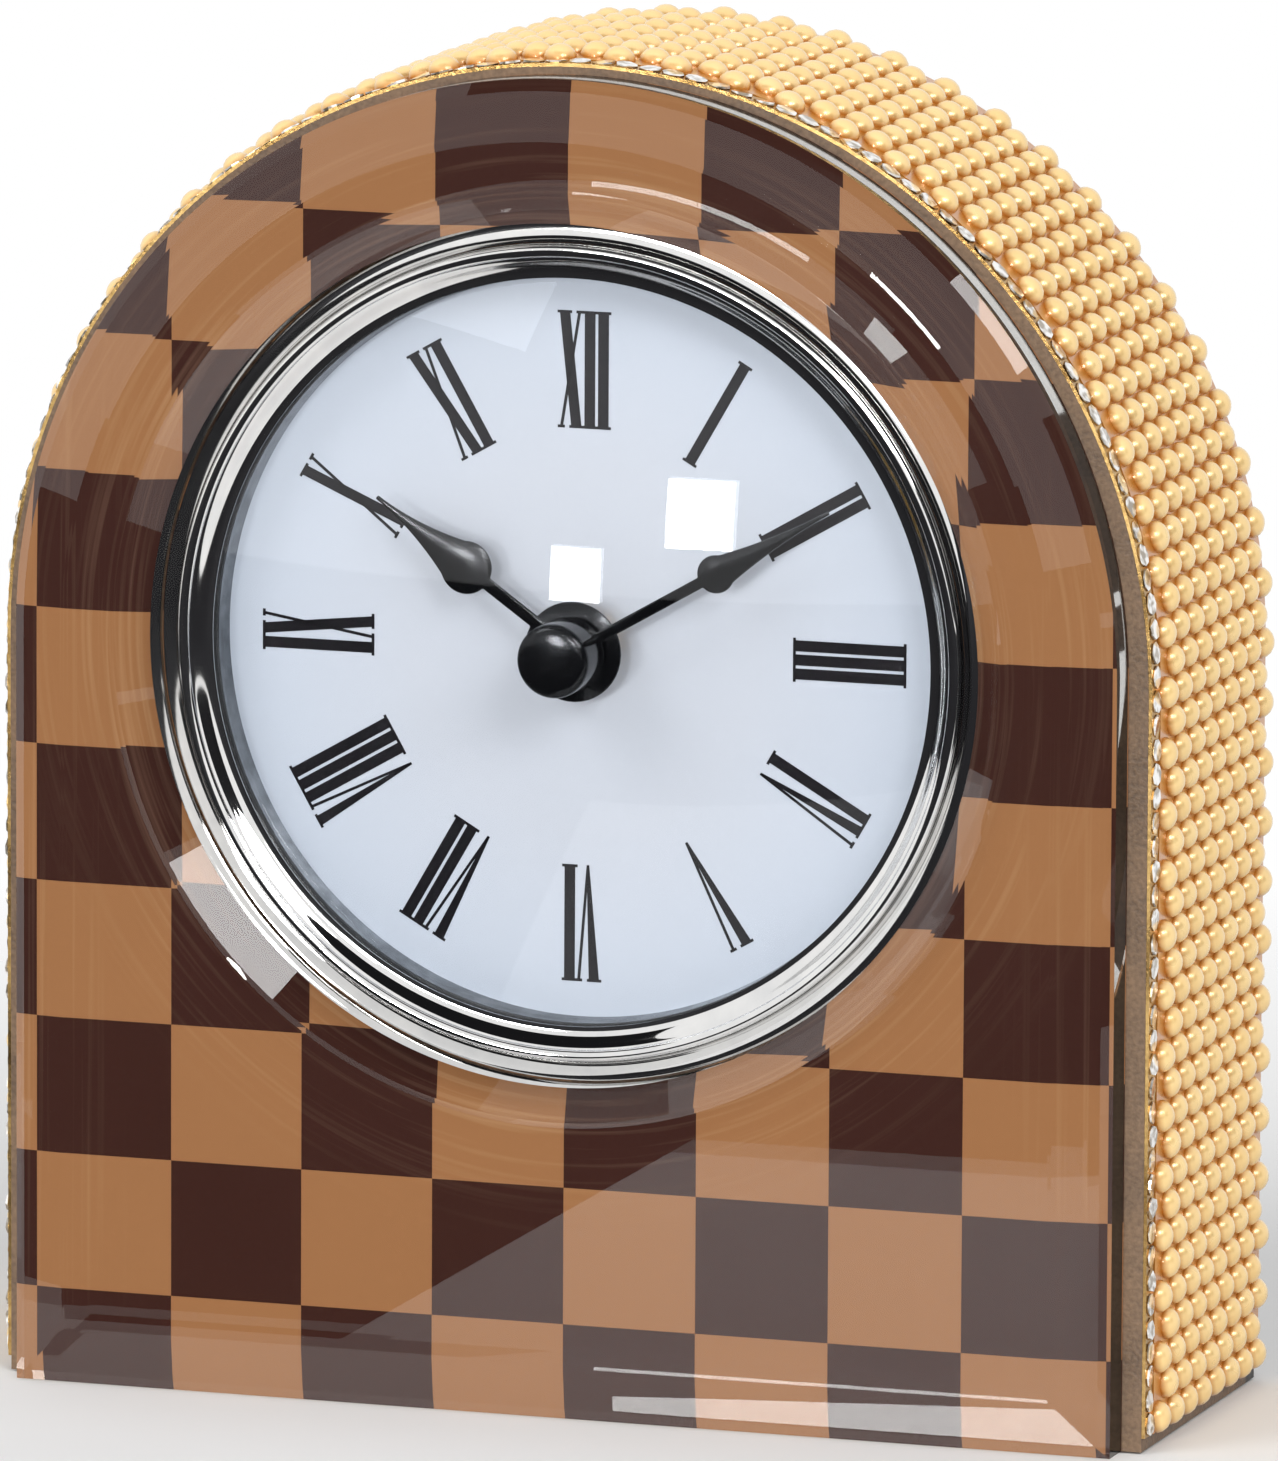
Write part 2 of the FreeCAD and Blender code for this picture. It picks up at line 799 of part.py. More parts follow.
# Setting knob with its shaft and pinion
def setting_knob():
    start = cannon_y
    knob_y = housing_back_y + knob_gap
    shaft = disc(knob_shaft_radius, start, knob_y - start, knob_centre)
    pivot = disc(pivot_radius, housing_y - pivot_depth, start - housing_y + pivot_depth, knob_centre)
    leaves = pinion(knob_teeth, motion_module, cannon_y, cannon_length, knob_centre, knob_phase)
    step = 360 / knob_flutes
    rim = []
    for i in range(knob_flutes):
        middle = i * step
        rim.append(polar(knob_radius - knob_flute_depth, middle - step / 2, knob_centre))
        rim.append(polar(knob_radius, middle - step * flute_tip_share / 2, knob_centre))
        rim.append(polar(knob_radius, middle + step * flute_tip_share / 2, knob_centre))
    grip = extrude(polygon(rim, knob_y), knob_thickness)
    return shaft.fuse([pivot, leaves, grip])


def nut_washer():
    return ring(post_radius, washer_radius, washer_y, washer_thickness)


def fixing_nut():
    corner = nut_flats / math.sqrt(3)
    places = [polar(corner, 60 * i, dial_centre) for i in range(6)]
    return extrude(polygon(places, nut_y), nut_thickness).cut(through(post_radius, nut_y, nut_thickness))


# Hands: a narrow stem, a round bulb and a long drawn-out point
def hand_blade(stem, bulb_radius, bulb_centre, tip, y):
    """Blade that points up, drawn before it is turned to its place."""
    half = stem / 2
    meet = bulb_centre - math.sqrt(bulb_radius * bulb_radius - half * half)
    shoulder = bulb_centre + bulb_radius * bulb_tail_share
    side = bulb_radius * math.sqrt(1 - bulb_tail_share * bulb_tail_share)
    waist = shoulder + (tip - shoulder) * tail_width_share
    waist_half = half + (side - half) * tail_width_share

    def point(across, up):
        return at(across, y, axis_height + up)

    edges = [
        Part.makeLine(point(-half, 0), point(-half, meet)),
        Part.Arc(point(-half, meet), point(-bulb_radius, bulb_centre), point(-side, shoulder)).toShape(),
        Part.Arc(point(-side, shoulder), point(-waist_half, waist), point(-tip_width / 2, tip)).toShape(),
        Part.makeLine(point(-tip_width / 2, tip), point(tip_width / 2, tip)),
        Part.Arc(point(tip_width / 2, tip), point(waist_half, waist), point(side, shoulder)).toShape(),
        Part.Arc(point(side, shoulder), point(bulb_radius, bulb_centre), point(half, meet)).toShape(),
        Part.makeLine(point(half, meet), point(half, 0)),
        Part.makeLine(point(half, 0), point(-half, 0)),
    ]
    return extrude(Part.Wire(edges), hand_thickness)


def set_to(shape, angle):
    """Turn clockwise, seen from the front, about the dial's axis."""
    shape.rotate(at(0, 0, axis_height), depth_axis, angle)
    return shape


def hour_hand():
    blade = hand_blade(hour_stem_width, hour_bulb_radius, hour_bulb_centre, hour_tip, hour_hub_y)
    hub = disc(hour_hub_radius, hour_hub_y, hour_hub_thickness)
    hand = blade.fuse(hub).cut(through(tube_radius, hour_hub_y, hour_hub_thickness))
    return set_to(hand, hour_angle_at_rest)


def minute_hand():
    blade = hand_blade(minute_stem_width, minute_bulb_radius, minute_bulb_centre, minute_tip, minute_y)
    hub = disc(cap_radius, minute_y, hand_thickness)
    collar = disc(minute_collar_radius, collar_y, minute_collar_thickness)
    length = collar_y + minute_collar_thickness - minute_y
    hand = blade.fuse([hub, collar]).cut(through(arbor_radius, minute_y, length))
    return set_to(hand, minute_angle_at_rest)


def hand_cap():
    return turned([
        (0, cap_y),
        (cap_radius - cap_round, cap_y + cap_dome),
        (cap_radius, cap_y + cap_dome + cap_round),
        (cap_radius, minute_y),
        (arbor_radius, minute_y),
        (arbor_radius, cap_y + cap_grip),
        (0, cap_y + cap_grip),
    ])


save("glass_front", glass_front())
save("checker_print", checker_print())
save("case_body", case_body())
save("back_panel", back_panel())
save("back_screws", *[back_screw(place) for place in screw_places])
save("pearl_wrap", pearl_wrap())
save("rhinestone_trim", rhinestone_trim())
save("bezel_ring", bezel_ring())
save("lens", lens())
save("lens_gasket", ring(seat_radius - gasket_width, seat_radius, gasket_y, gasket_thickness))
save("reveal_ring", reveal_ring())
save("dial", ring(post_radius + fit_gap, seat_radius, dial_y, dial_thickness))
save("insert_cup", insert_cup())
save("grip_ring", grip_ring())
save("movement_plate", movement_plate())
save("movement_cover", movement_cover())
save("train_plate", train_plate())
save("centre_wheel", centre_wheel())
save("hour_wheel", hour_wheel())
save("motion_wheel", motion_wheel())
save("intermediate_wheel", intermediate_wheel())
save("rotor", rotor())
save("stator", stator())
save("coil_bobbin", coil_bobbin())
save("coil_winding", coil_winding())
save("circuit_board", circuit_board())
save("crystal", crystal())
save("battery", battery())
save("contact_negative", contact(-1))
save("contact_positive", contact(1))
save("setting_knob", setting_knob())
save("nut_washer", nut_washer())
save("fixing_nut", fixing_nut())
save("hour_hand", hour_hand())
save("minute_hand", minute_hand())
save("hand_cap", hand_cap())
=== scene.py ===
import json
import logging
import math
import random
from dataclasses import dataclass, field
from enum import Enum

import bmesh
import bpy
from mathutils import Matrix, Vector

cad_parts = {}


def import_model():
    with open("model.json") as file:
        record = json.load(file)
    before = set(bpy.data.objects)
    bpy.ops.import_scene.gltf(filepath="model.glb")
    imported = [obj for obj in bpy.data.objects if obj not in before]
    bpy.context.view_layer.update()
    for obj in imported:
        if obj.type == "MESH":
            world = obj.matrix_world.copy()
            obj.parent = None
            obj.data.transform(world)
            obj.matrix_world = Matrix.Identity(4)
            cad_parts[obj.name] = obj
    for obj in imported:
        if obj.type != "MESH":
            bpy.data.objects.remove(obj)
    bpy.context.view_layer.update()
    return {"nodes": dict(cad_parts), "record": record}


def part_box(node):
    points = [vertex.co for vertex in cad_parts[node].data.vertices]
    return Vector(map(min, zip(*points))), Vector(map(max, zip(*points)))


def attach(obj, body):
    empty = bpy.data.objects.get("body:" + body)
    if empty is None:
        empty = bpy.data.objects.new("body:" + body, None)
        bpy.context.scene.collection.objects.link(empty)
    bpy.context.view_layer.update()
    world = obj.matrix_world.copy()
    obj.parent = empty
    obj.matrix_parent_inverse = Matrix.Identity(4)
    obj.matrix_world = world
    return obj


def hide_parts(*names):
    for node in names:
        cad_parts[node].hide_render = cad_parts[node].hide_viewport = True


log = logging.getLogger("shelf_clock")
MM = 0.001
AXIS_HEIGHT = 76.5
DIAL_FRONT = -13.2
Colour = tuple[float, float, float]
WHITE: Colour = (255, 255, 255)
Profile = list[tuple[float, float]]
ACROSS = Vector((1.0, 0.0, 0.0))
BACK = Vector((0.0, 1.0, 0.0))
UP = Vector((0.0, 0.0, 1.0))


# Modelling by hand: small steps that every sub-assembly uses

def deselect_all() -> None:
    """Leave nothing selected, so that the next operator acts on its own piece."""
    bpy.ops.object.select_all(action="DESELECT")


def pick(piece: bpy.types.Object) -> None:
    """Select one piece alone and make it the active one.

    Args:
        piece: the object that the next operator acts on.
    """
    deselect_all()
    piece.select_set(True)
    bpy.context.view_layer.objects.active = piece


def take_all() -> None:
    """Select everything in the mesh that is being edited."""
    bpy.ops.mesh.select_all(action="SELECT")


def start_edit() -> None:
    """Enter edit mode on the active piece with all of its vertices selected."""
    bpy.ops.object.mode_set(mode="EDIT")
    bpy.ops.mesh.select_mode(type="VERT")
    take_all()


def end_edit() -> None:
    """Return to object mode."""
    bpy.ops.object.mode_set(mode="OBJECT")


def close_up() -> None:
    """Turn all faces outward and return to object mode."""
    take_all()
    bpy.ops.mesh.normals_make_consistent(inside=False)
    end_edit()


def merge_all() -> None:
    """Merge vertices that lie on each other, and leave everything selected."""
    take_all()
    bpy.ops.mesh.remove_doubles(threshold=1e-7)
    take_all()


def extrude(move: tuple[float, float, float]) -> None:
    """Extrude what is selected and move it, in metres."""
    bpy.ops.mesh.extrude_region_move(TRANSFORM_OT_translate={"value": move})


def settle(piece: bpy.types.Object, name: str, angle: float = 30.0) -> bpy.types.Object:
    """Name a finished piece, put its place into its mesh and shade it.

    Args:
        piece: the object to finish.
        name: its name in the scene.
        angle: faces that meet at less than this many degrees look smooth.
    Returns:
        The same object.
    """
    pick(piece)
    bpy.ops.object.transform_apply(location=True, rotation=True, scale=True)
    bpy.ops.object.shade_smooth_by_angle(angle=math.radians(angle))
    piece.name = name
    piece.data.name = name
    return piece


def apply_modifier(piece: bpy.types.Object, kind: str, **values: object) -> None:
    """Add one modifier with the given values and apply it.

    Args:
        piece: the object that gets it.
        kind: the modifier's type.
        values: its settings.
    """
    pick(piece)
    modifier = piece.modifiers.new(kind.title(), kind)
    for key, value in values.items():
        setattr(modifier, key, value)
    bpy.ops.object.modifier_apply(modifier=modifier.name)


def cut_away(piece: bpy.types.Object, cutter: bpy.types.Object) -> None:
    """Take the cutter's volume out of the piece and remove the cutter.

    Args:
        piece: the object that is cut.
        cutter: the closed object that cuts it.
    """
    apply_modifier(piece, "BOOLEAN", object=cutter, operation="DIFFERENCE", solver="EXACT")
    bpy.data.objects.remove(cutter)


def join(pieces: list[bpy.types.Object]) -> bpy.types.Object:
    """Join several objects into the first of them.

    Args:
        pieces: the objects, each with its own mesh.
    Returns:
        The joined object.
    """
    deselect_all()
    for piece in pieces:
        piece.select_set(True)
    bpy.context.view_layer.objects.active = pieces[0]
    bpy.ops.object.join()
    return pieces[0]


def copied(piece: bpy.types.Object, place: Matrix) -> bpy.types.Object:
    """Copy a small modelled piece, with its own mesh, to another place.

    Args:
        piece: the object that was modelled once.
        place: where the copy stands.
    Returns:
        The copy.
    """
    twin = piece.copy()
    twin.data = piece.data.copy()
    bpy.context.scene.collection.objects.link(twin)
    twin.matrix_world = place
    return twin


def first_point(x: float, y: float, z: float) -> bpy.types.Object:
    """Start a drawn line with one vertex, in millimetres, and stay in edit mode.

    Args:
        x, y, z: the vertex's place.
    Returns:
        The object that holds it.
    """
    deselect_all()
    bpy.ops.mesh.primitive_plane_add(size=MM, location=(x * MM, y * MM, z * MM))
    start_edit()
    bpy.ops.mesh.merge(type="CENTER")
    return bpy.context.active_object


def draw_on(steps: Profile, along: tuple[Vector, Vector]) -> None:
    """Extrude the last vertex step by step.

    Args:
        steps: the line's points, the first of them already drawn.
        along: the directions of the points' two numbers.
    """
    for before, after in zip(steps, steps[1:]):
        move = along[0] * (after[0] - before[0]) + along[1] * (after[1] - before[1])
        extrude(tuple(move * MM))


def turned(name: str, profile: Profile, height: float, steps: int = 192,
           angle: float = 30.0, across: float = 0.0) -> bpy.types.Object:
    """Spin a drawn profile about a line along the depth.

    Args:
        name: the piece's name.
        profile: points of radius and depth in millimetres; a ring's last point is its first.
        height: the axis's height above the table in millimetres.
        steps: how many steps the spin has.
        angle: the angle for smooth shading.
        across: the axis's place across.
    Returns:
        The finished piece.
    """
    piece = first_point(across + profile[0][0], profile[0][1], height)
    draw_on(profile, (ACROSS, BACK))
    merge_all()
    bpy.ops.mesh.spin(steps=steps, angle=math.tau, axis=tuple(BACK),
                      center=(across * MM, 0.0, height * MM))
    merge_all()
    close_up()
    return settle(piece, name, angle)


def drawn_face(points: Profile, y: float) -> bpy.types.Object:
    """Draw a closed outline in the front view and fill it, staying in edit mode.

    Args:
        points: places across and up in millimetres.
        y: the outline's depth.
    Returns:
        The object, with its one face selected.
    """
    piece = first_point(points[0][0], y, points[0][1])
    draw_on(points, (ACROSS, UP))
    take_all()
    bpy.ops.mesh.edge_face_add()
    return piece


def push(distance: float) -> None:
    """Extrude the selected face along the depth, in millimetres."""
    extrude((0.0, distance * MM, 0.0))


def plate(name: str, points: Profile, y: float, thickness: float, edge: float = 0.0,
          angle: float = 30.0) -> bpy.types.Object:
    """Cut a flat plate from a drawn outline, with its edges eased.

    Args:
        name: the piece's name.
        points: places across and up in millimetres.
        y: the front face's depth.
        thickness: how far it reaches back.
        edge: width of the eased edges.
        angle: the angle for smooth shading.
    Returns:
        The finished piece.
    """
    piece = drawn_face(points, y)
    push(thickness)
    close_up()
    if edge:
        apply_modifier(piece, "BEVEL", width=edge * MM, segments=2, limit_method="ANGLE",
                       angle_limit=math.radians(50.0))
    return settle(piece, name, angle)


def block(centre: tuple[float, float, float], size: tuple[float, float, float]) -> bpy.types.Object:
    """Resize a cube to a block.

    Args:
        centre: its middle in millimetres.
        size: its width, depth and height in millimetres.
    Returns:
        The block.
    """
    place = tuple(v * MM for v in centre)
    deselect_all()
    bpy.ops.mesh.primitive_cube_add(size=MM, location=place)
    start_edit()
    bpy.ops.transform.resize(value=size, center_override=place)
    end_edit()
    return bpy.context.active_object


def arch(half: float, top: float, foot: float, steps: int = 96) -> Profile:
    """Outline with straight sides and a round top.

    Args:
        half: half of its width.
        top: its height.
        foot: the height of its lower edge.
        steps: how many steps the round top has.
    Returns:
        Places across and up, from the left foot over the top to the right foot.
    """
    spring = top - half
    round_top = [(-half * math.cos(math.pi * i / steps), spring + half * math.sin(math.pi * i / steps))
                 for i in range(steps + 1)]
    return [(-half, foot)] + round_top + [(half, foot)]


# Shader effects that several finishes share

def linear(colour: Colour) -> tuple[float, float, float, float]:
    """Turn a colour as it is seen on a screen (0 to 255) into the shader's numbers."""
    parts = [c / 255 for c in colour]
    return tuple([c / 12.92 if c <= 0.04045 else ((c + 0.055) / 1.055) ** 2.4 for c in parts] + [1.0])


class Nodes:
    """Lays and joins nodes in one node tree."""

    def __init__(self, tree: bpy.types.NodeTree) -> None:
        """Keep the tree.

        Args:
            tree: the material's or group's tree.
        """
        self.tree = tree

    def add(self, kind: str, **values: object) -> bpy.types.Node:
        """Add a node.

        Args:
            kind: the node's type.
            values: its settings.
        Returns:
            The node.
        """
        node = self.tree.nodes.new(kind)
        for key, value in values.items():
            setattr(node, key, value)
        return node

    def feed(self, socket: bpy.types.NodeSocket, value: object) -> None:
        """Give a socket a number, colour or another node's output.

        Args:
            socket: the input.
            value: what it gets.
        """
        if isinstance(value, bpy.types.NodeSocket):
            self.tree.links.new(value, socket)
        else:
            socket.default_value = value

    def math(self, operation: str, *values: object) -> bpy.types.NodeSocket:
        """Add one step of arithmetic.

        Args:
            operation: its name.
            values: its inputs.
        Returns:
            The result.
        """
        node = self.add("ShaderNodeMath", operation=operation)
        for socket, value in zip(node.inputs, values):
            self.feed(socket, value)
        return node.outputs[0]

    def blend(self, share: object, low: object, high: object) -> bpy.types.NodeSocket:
        """Mix two colours.

        Args:
            share: how much of the second.
            low, high: the colours.
        Returns:
            The mixed colour.
        """
        node = self.add("ShaderNodeMix", data_type="RGBA")
        self.feed(node.inputs["Factor"], share)
        self.feed(node.inputs[6], low)
        self.feed(node.inputs[7], high)
        return node.outputs[2]

    def between(self, value: object, low: float, high: float,
                to_low: object, to_high: object) -> bpy.types.NodeSocket:
        """Carry a value from one range to another, held at its ends.

        Args:
            value: the value.
            low, high: the range it comes from.
            to_low, to_high: the range it goes to.
        Returns:
            The new value.
        """
        node = self.add("ShaderNodeMapRange")
        for socket, number in zip(node.inputs, (value, low, high, to_low, to_high)):
            self.feed(socket, number)
        return node.outputs[0]

    def noise(self, place: object, scale: object, detail: float = 4.0) -> bpy.types.NodeSocket:
        """Add cloudy noise.

        Args:
            place: the coordinates it reads.
            scale: how fine it is, in cells to the metre.
            detail: how many finer layers it has.
        Returns:
            Its value.
        """
        node = self.add("ShaderNodeTexNoise")
        self.feed(node.inputs["Vector"], place)
        self.feed(node.inputs["Scale"], scale)
        node.inputs["Detail"].default_value = detail
        return node.outputs[0]

    def mottle(self, value: object, low: float, high: float, share: float,
               plain: Colour, other: Colour) -> bpy.types.NodeSocket:
        """Mix some of another colour in where a noise is high.

        Args:
            value: the noise.
            low, high: where the other colour begins and where it is full.
            share: how much of it at most.
            plain, other: the colours as they are seen on a screen.
        Returns:
            The mottled colour.
        """
        return self.blend(self.between(value, low, high, 0.0, share), linear(plain), linear(other))

    def split(self, place: object) -> list[bpy.types.NodeSocket]:
        """Split a place.

        Args:
            place: the coordinates.
        Returns:
            Its parts across, back and up.
        """
        node = self.add("ShaderNodeSeparateXYZ")
        self.feed(node.inputs[0], place)
        return list(node.outputs)

    def combine(self, *parts: object) -> bpy.types.NodeSocket:
        """Put parts together.

        Args:
            parts: up to three numbers.
        Returns:
            The place that they make.
        """
        node = self.add("ShaderNodeCombineXYZ")
        for socket, part in zip(node.inputs, parts):
            self.feed(socket, part)
        return node.outputs[0]

    def reach(self, across: object, up: object) -> bpy.types.NodeSocket:
        """Measure how far a place is from the middle.

        Args:
            across, up: its parts.
        Returns:
            The distance.
        """
        squares = self.math("ADD", self.math("MULTIPLY", across, across), self.math("MULTIPLY", up, up))
        return self.math("SQRT", squares)


def new_group(name: str, inputs: dict[str, str], outputs: dict[str, str]) -> bpy.types.NodeTree:
    """Start a shared effect.

    Args:
        name: the group's name.
        inputs, outputs: its sockets, from name to kind.
    Returns:
        The group's tree.
    """
    group = bpy.data.node_groups.new(name, "ShaderNodeTree")
    for key, kind in inputs.items():
        group.interface.new_socket(key, in_out="INPUT", socket_type=kind)
    for key, kind in outputs.items():
        group.interface.new_socket(key, in_out="OUTPUT", socket_type=kind)
    return group


def grain_group() -> bpy.types.NodeTree:
    """Uneven colour, gloss and height that any moulded, painted or plated surface has.

    Returns:
        The effect's tree.
    """
    group = new_group(
        "uneven_surface",
        {"Place": "NodeSocketVector", "Scale": "NodeSocketFloat", "Low": "NodeSocketColor",
         "High": "NodeSocketColor", "Smooth": "NodeSocketFloat", "Rough": "NodeSocketFloat"},
        {"Color": "NodeSocketColor", "Roughness": "NodeSocketFloat", "Height": "NodeSocketFloat"})
    nodes = Nodes(group)
    given = nodes.add("NodeGroupInput").outputs
    fine = nodes.noise(given["Place"], given["Scale"], 6.0)
    broad = nodes.noise(given["Place"], nodes.math("MULTIPLY", given["Scale"], 0.06), 2.0)
    both = nodes.math("ADD", nodes.math("MULTIPLY", fine, 0.5), nodes.math("MULTIPLY", broad, 0.5))
    share = nodes.between(both, 0.36, 0.64, 0.0, 1.0)
    gloss = nodes.between(broad, 0.35, 0.65, given["Smooth"], given["Rough"])
    result = nodes.add("NodeGroupOutput").inputs
    nodes.feed(result["Color"], nodes.blend(share, given["Low"], given["High"]))
    nodes.feed(result["Roughness"], gloss)
    nodes.feed(result["Height"], fine)
    return group


def reflection_arc_group() -> bpy.types.NodeTree:
    """Fine arcs round the dial's axis, used as painted reflection streaks, with each place's distance from
    the axis.

    Returns:
        The effect's tree.
    """
    group = new_group(
        "reflection_arcs",
        {"Place": "NodeSocketVector", "Fineness": "NodeSocketFloat", "Height": "NodeSocketFloat"},
        {"Mask": "NodeSocketFloat", "Radius": "NodeSocketFloat"})
    nodes = Nodes(group)
    given = nodes.add("NodeGroupInput").outputs
    across, _, height = nodes.split(given["Place"])
    up = nodes.math("SUBTRACT", height, given["Height"])
    radius = nodes.math("MAXIMUM", nodes.reach(across, up), 1e-4)
    around = [nodes.math("MULTIPLY", nodes.math("DIVIDE", part, radius), 1.6) for part in (across, up)]
    polar = nodes.combine(nodes.math("MULTIPLY", radius, given["Fineness"]), *around)
    value = nodes.noise(polar, 1.0, 5.0)
    result = nodes.add("NodeGroupOutput").inputs
    nodes.feed(result["Mask"], nodes.between(value, 0.5, 0.72, 0.0, 1.0))
    nodes.feed(result["Radius"], radius)
    return group


@dataclass(frozen=True)
class Effects:
    """The shared shader effects."""

    grain: bpy.types.NodeTree
    streaks: bpy.types.NodeTree


class Sheet:
    """A new material with its nodes at hand."""

    def __init__(self, name: str) -> None:
        """Start the material.

        Args:
            name: its name.
        """
        self.material = bpy.data.materials.new(name)
        self.material.use_nodes = True
        self.nodes = Nodes(self.material.node_tree)
        self.shader = self.material.node_tree.nodes["Principled BSDF"]
        self.output = self.material.node_tree.nodes["Material Output"]
        self.place = self.nodes.add("ShaderNodeTexCoord").outputs["Object"]

    def parts(self) -> list[bpy.types.NodeSocket]:
        """Split the place into its parts across, back and up."""
        return self.nodes.split(self.place)

    def set(self, **values: object) -> None:
        """Set or link sockets of the main shader, with underscores for spaces."""
        for key, value in values.items():
            self.nodes.feed(self.shader.inputs[key.replace("_", " ")], value)

    def effect(self, group: bpy.types.NodeTree, **values: object) -> bpy.types.Node:
        """Place a shared effect in this material.

        Args:
            group: the effect.
            values: its inputs.
        Returns:
            The placed node.
        """
        node = self.nodes.add("ShaderNodeGroup", node_tree=group)
        self.nodes.feed(node.inputs["Place"], self.place)
        for key, value in values.items():
            self.nodes.feed(node.inputs[key], value)
        return node

    def bump(self, height: bpy.types.NodeSocket, distance: float) -> None:
        """Raise the surface by a height, in millimetres at its highest.

        Args:
            height: the value from 0 to 1.
            distance: the relief in millimetres.
        """
        node = self.nodes.add("ShaderNodeBump")
        node.inputs["Distance"].default_value = distance * MM
        self.nodes.feed(node.inputs["Height"], height)
        self.nodes.feed(self.shader.inputs["Normal"], node.outputs[0])

    def clear_where(self, share: bpy.types.NodeSocket, tint: Colour) -> None:
        """Let light pass straight through.

        Args:
            share: 0 where the main shader stays, 1 where it is clear.
            tint: the colour that the light keeps.
        """
        clear = self.nodes.add("ShaderNodeBsdfTransparent")
        clear.inputs[0].default_value = linear(tint)
        mix = self.nodes.add("ShaderNodeMixShader")
        for socket, value in zip(mix.inputs, (share, self.shader.outputs[0], clear.outputs[0])):
            self.nodes.feed(socket, value)
        self.nodes.feed(self.output.inputs["Surface"], mix.outputs[0])


class Coating:
    """A finish. Each kind paints its own sheet."""

    slot: str

    def make(self, effects: Effects) -> bpy.types.Material:
        """Build the material.

        Args:
            effects: the shared effects.
        Returns:
            The material.
        """
        sheet = Sheet(self.slot)
        self.paint(sheet, effects)
        return sheet.material

    def paint(self, sheet: Sheet, effects: Effects) -> None:
        """Lay this finish's own nodes.

        Args:
            sheet: the new material.
            effects: the shared effects.
        """
        raise NotImplementedError


@dataclass(frozen=True)
class Finish(Coating):
    """A painted, moulded, plated or rubber finish."""

    slot: str
    low: Colour
    high: Colour
    smooth: float
    rough: float
    metallic: float = 0.0
    scale: float = 900.0
    relief: float = 0.02
    coat: float = 0.0
    sheen: float = 0.0
    shine: float = 0.5

    def paint(self, sheet: Sheet, effects: Effects) -> None:
        """Build the material.

        Args:
            sheet: the new material.
            effects: the shared effects.
        """
        grain = sheet.effect(effects.grain, Scale=self.scale, Low=linear(self.low), High=linear(self.high),
                             Smooth=self.smooth, Rough=self.rough)
        sheet.set(Base_Color=grain.outputs["Color"], Roughness=grain.outputs["Roughness"],
                  Metallic=self.metallic, Coat_Weight=self.coat, Sheen_Weight=self.sheen,
                  Specular_IOR_Level=self.shine)
        sheet.bump(grain.outputs["Height"], self.relief)


@dataclass(frozen=True)
class ClearGlass(Coating):
    """Clear glass with faint wipe marks."""

    slot: str
    tint: Colour
    passing: Colour
    index: float
    wear: float

    def paint(self, sheet: Sheet, effects: Effects) -> None:
        """Lay the glass. The lamps' light passes it once and without hard shadows.

        Args:
            sheet: the new material.
            effects: the shared effects.
        """
        nodes = sheet.nodes
        marks = nodes.between(nodes.noise(sheet.place, 60.0, 3.0), 0.5, 0.8, 0.0, self.wear)
        sheet.set(Base_Color=linear(self.tint), IOR=self.index, Transmission_Weight=1.0, Roughness=marks)
        path = nodes.add("ShaderNodeLightPath").outputs
        sheet.clear_where(nodes.math("MAXIMUM", path["Is Shadow Ray"], path["Is Diffuse Ray"]), self.passing)


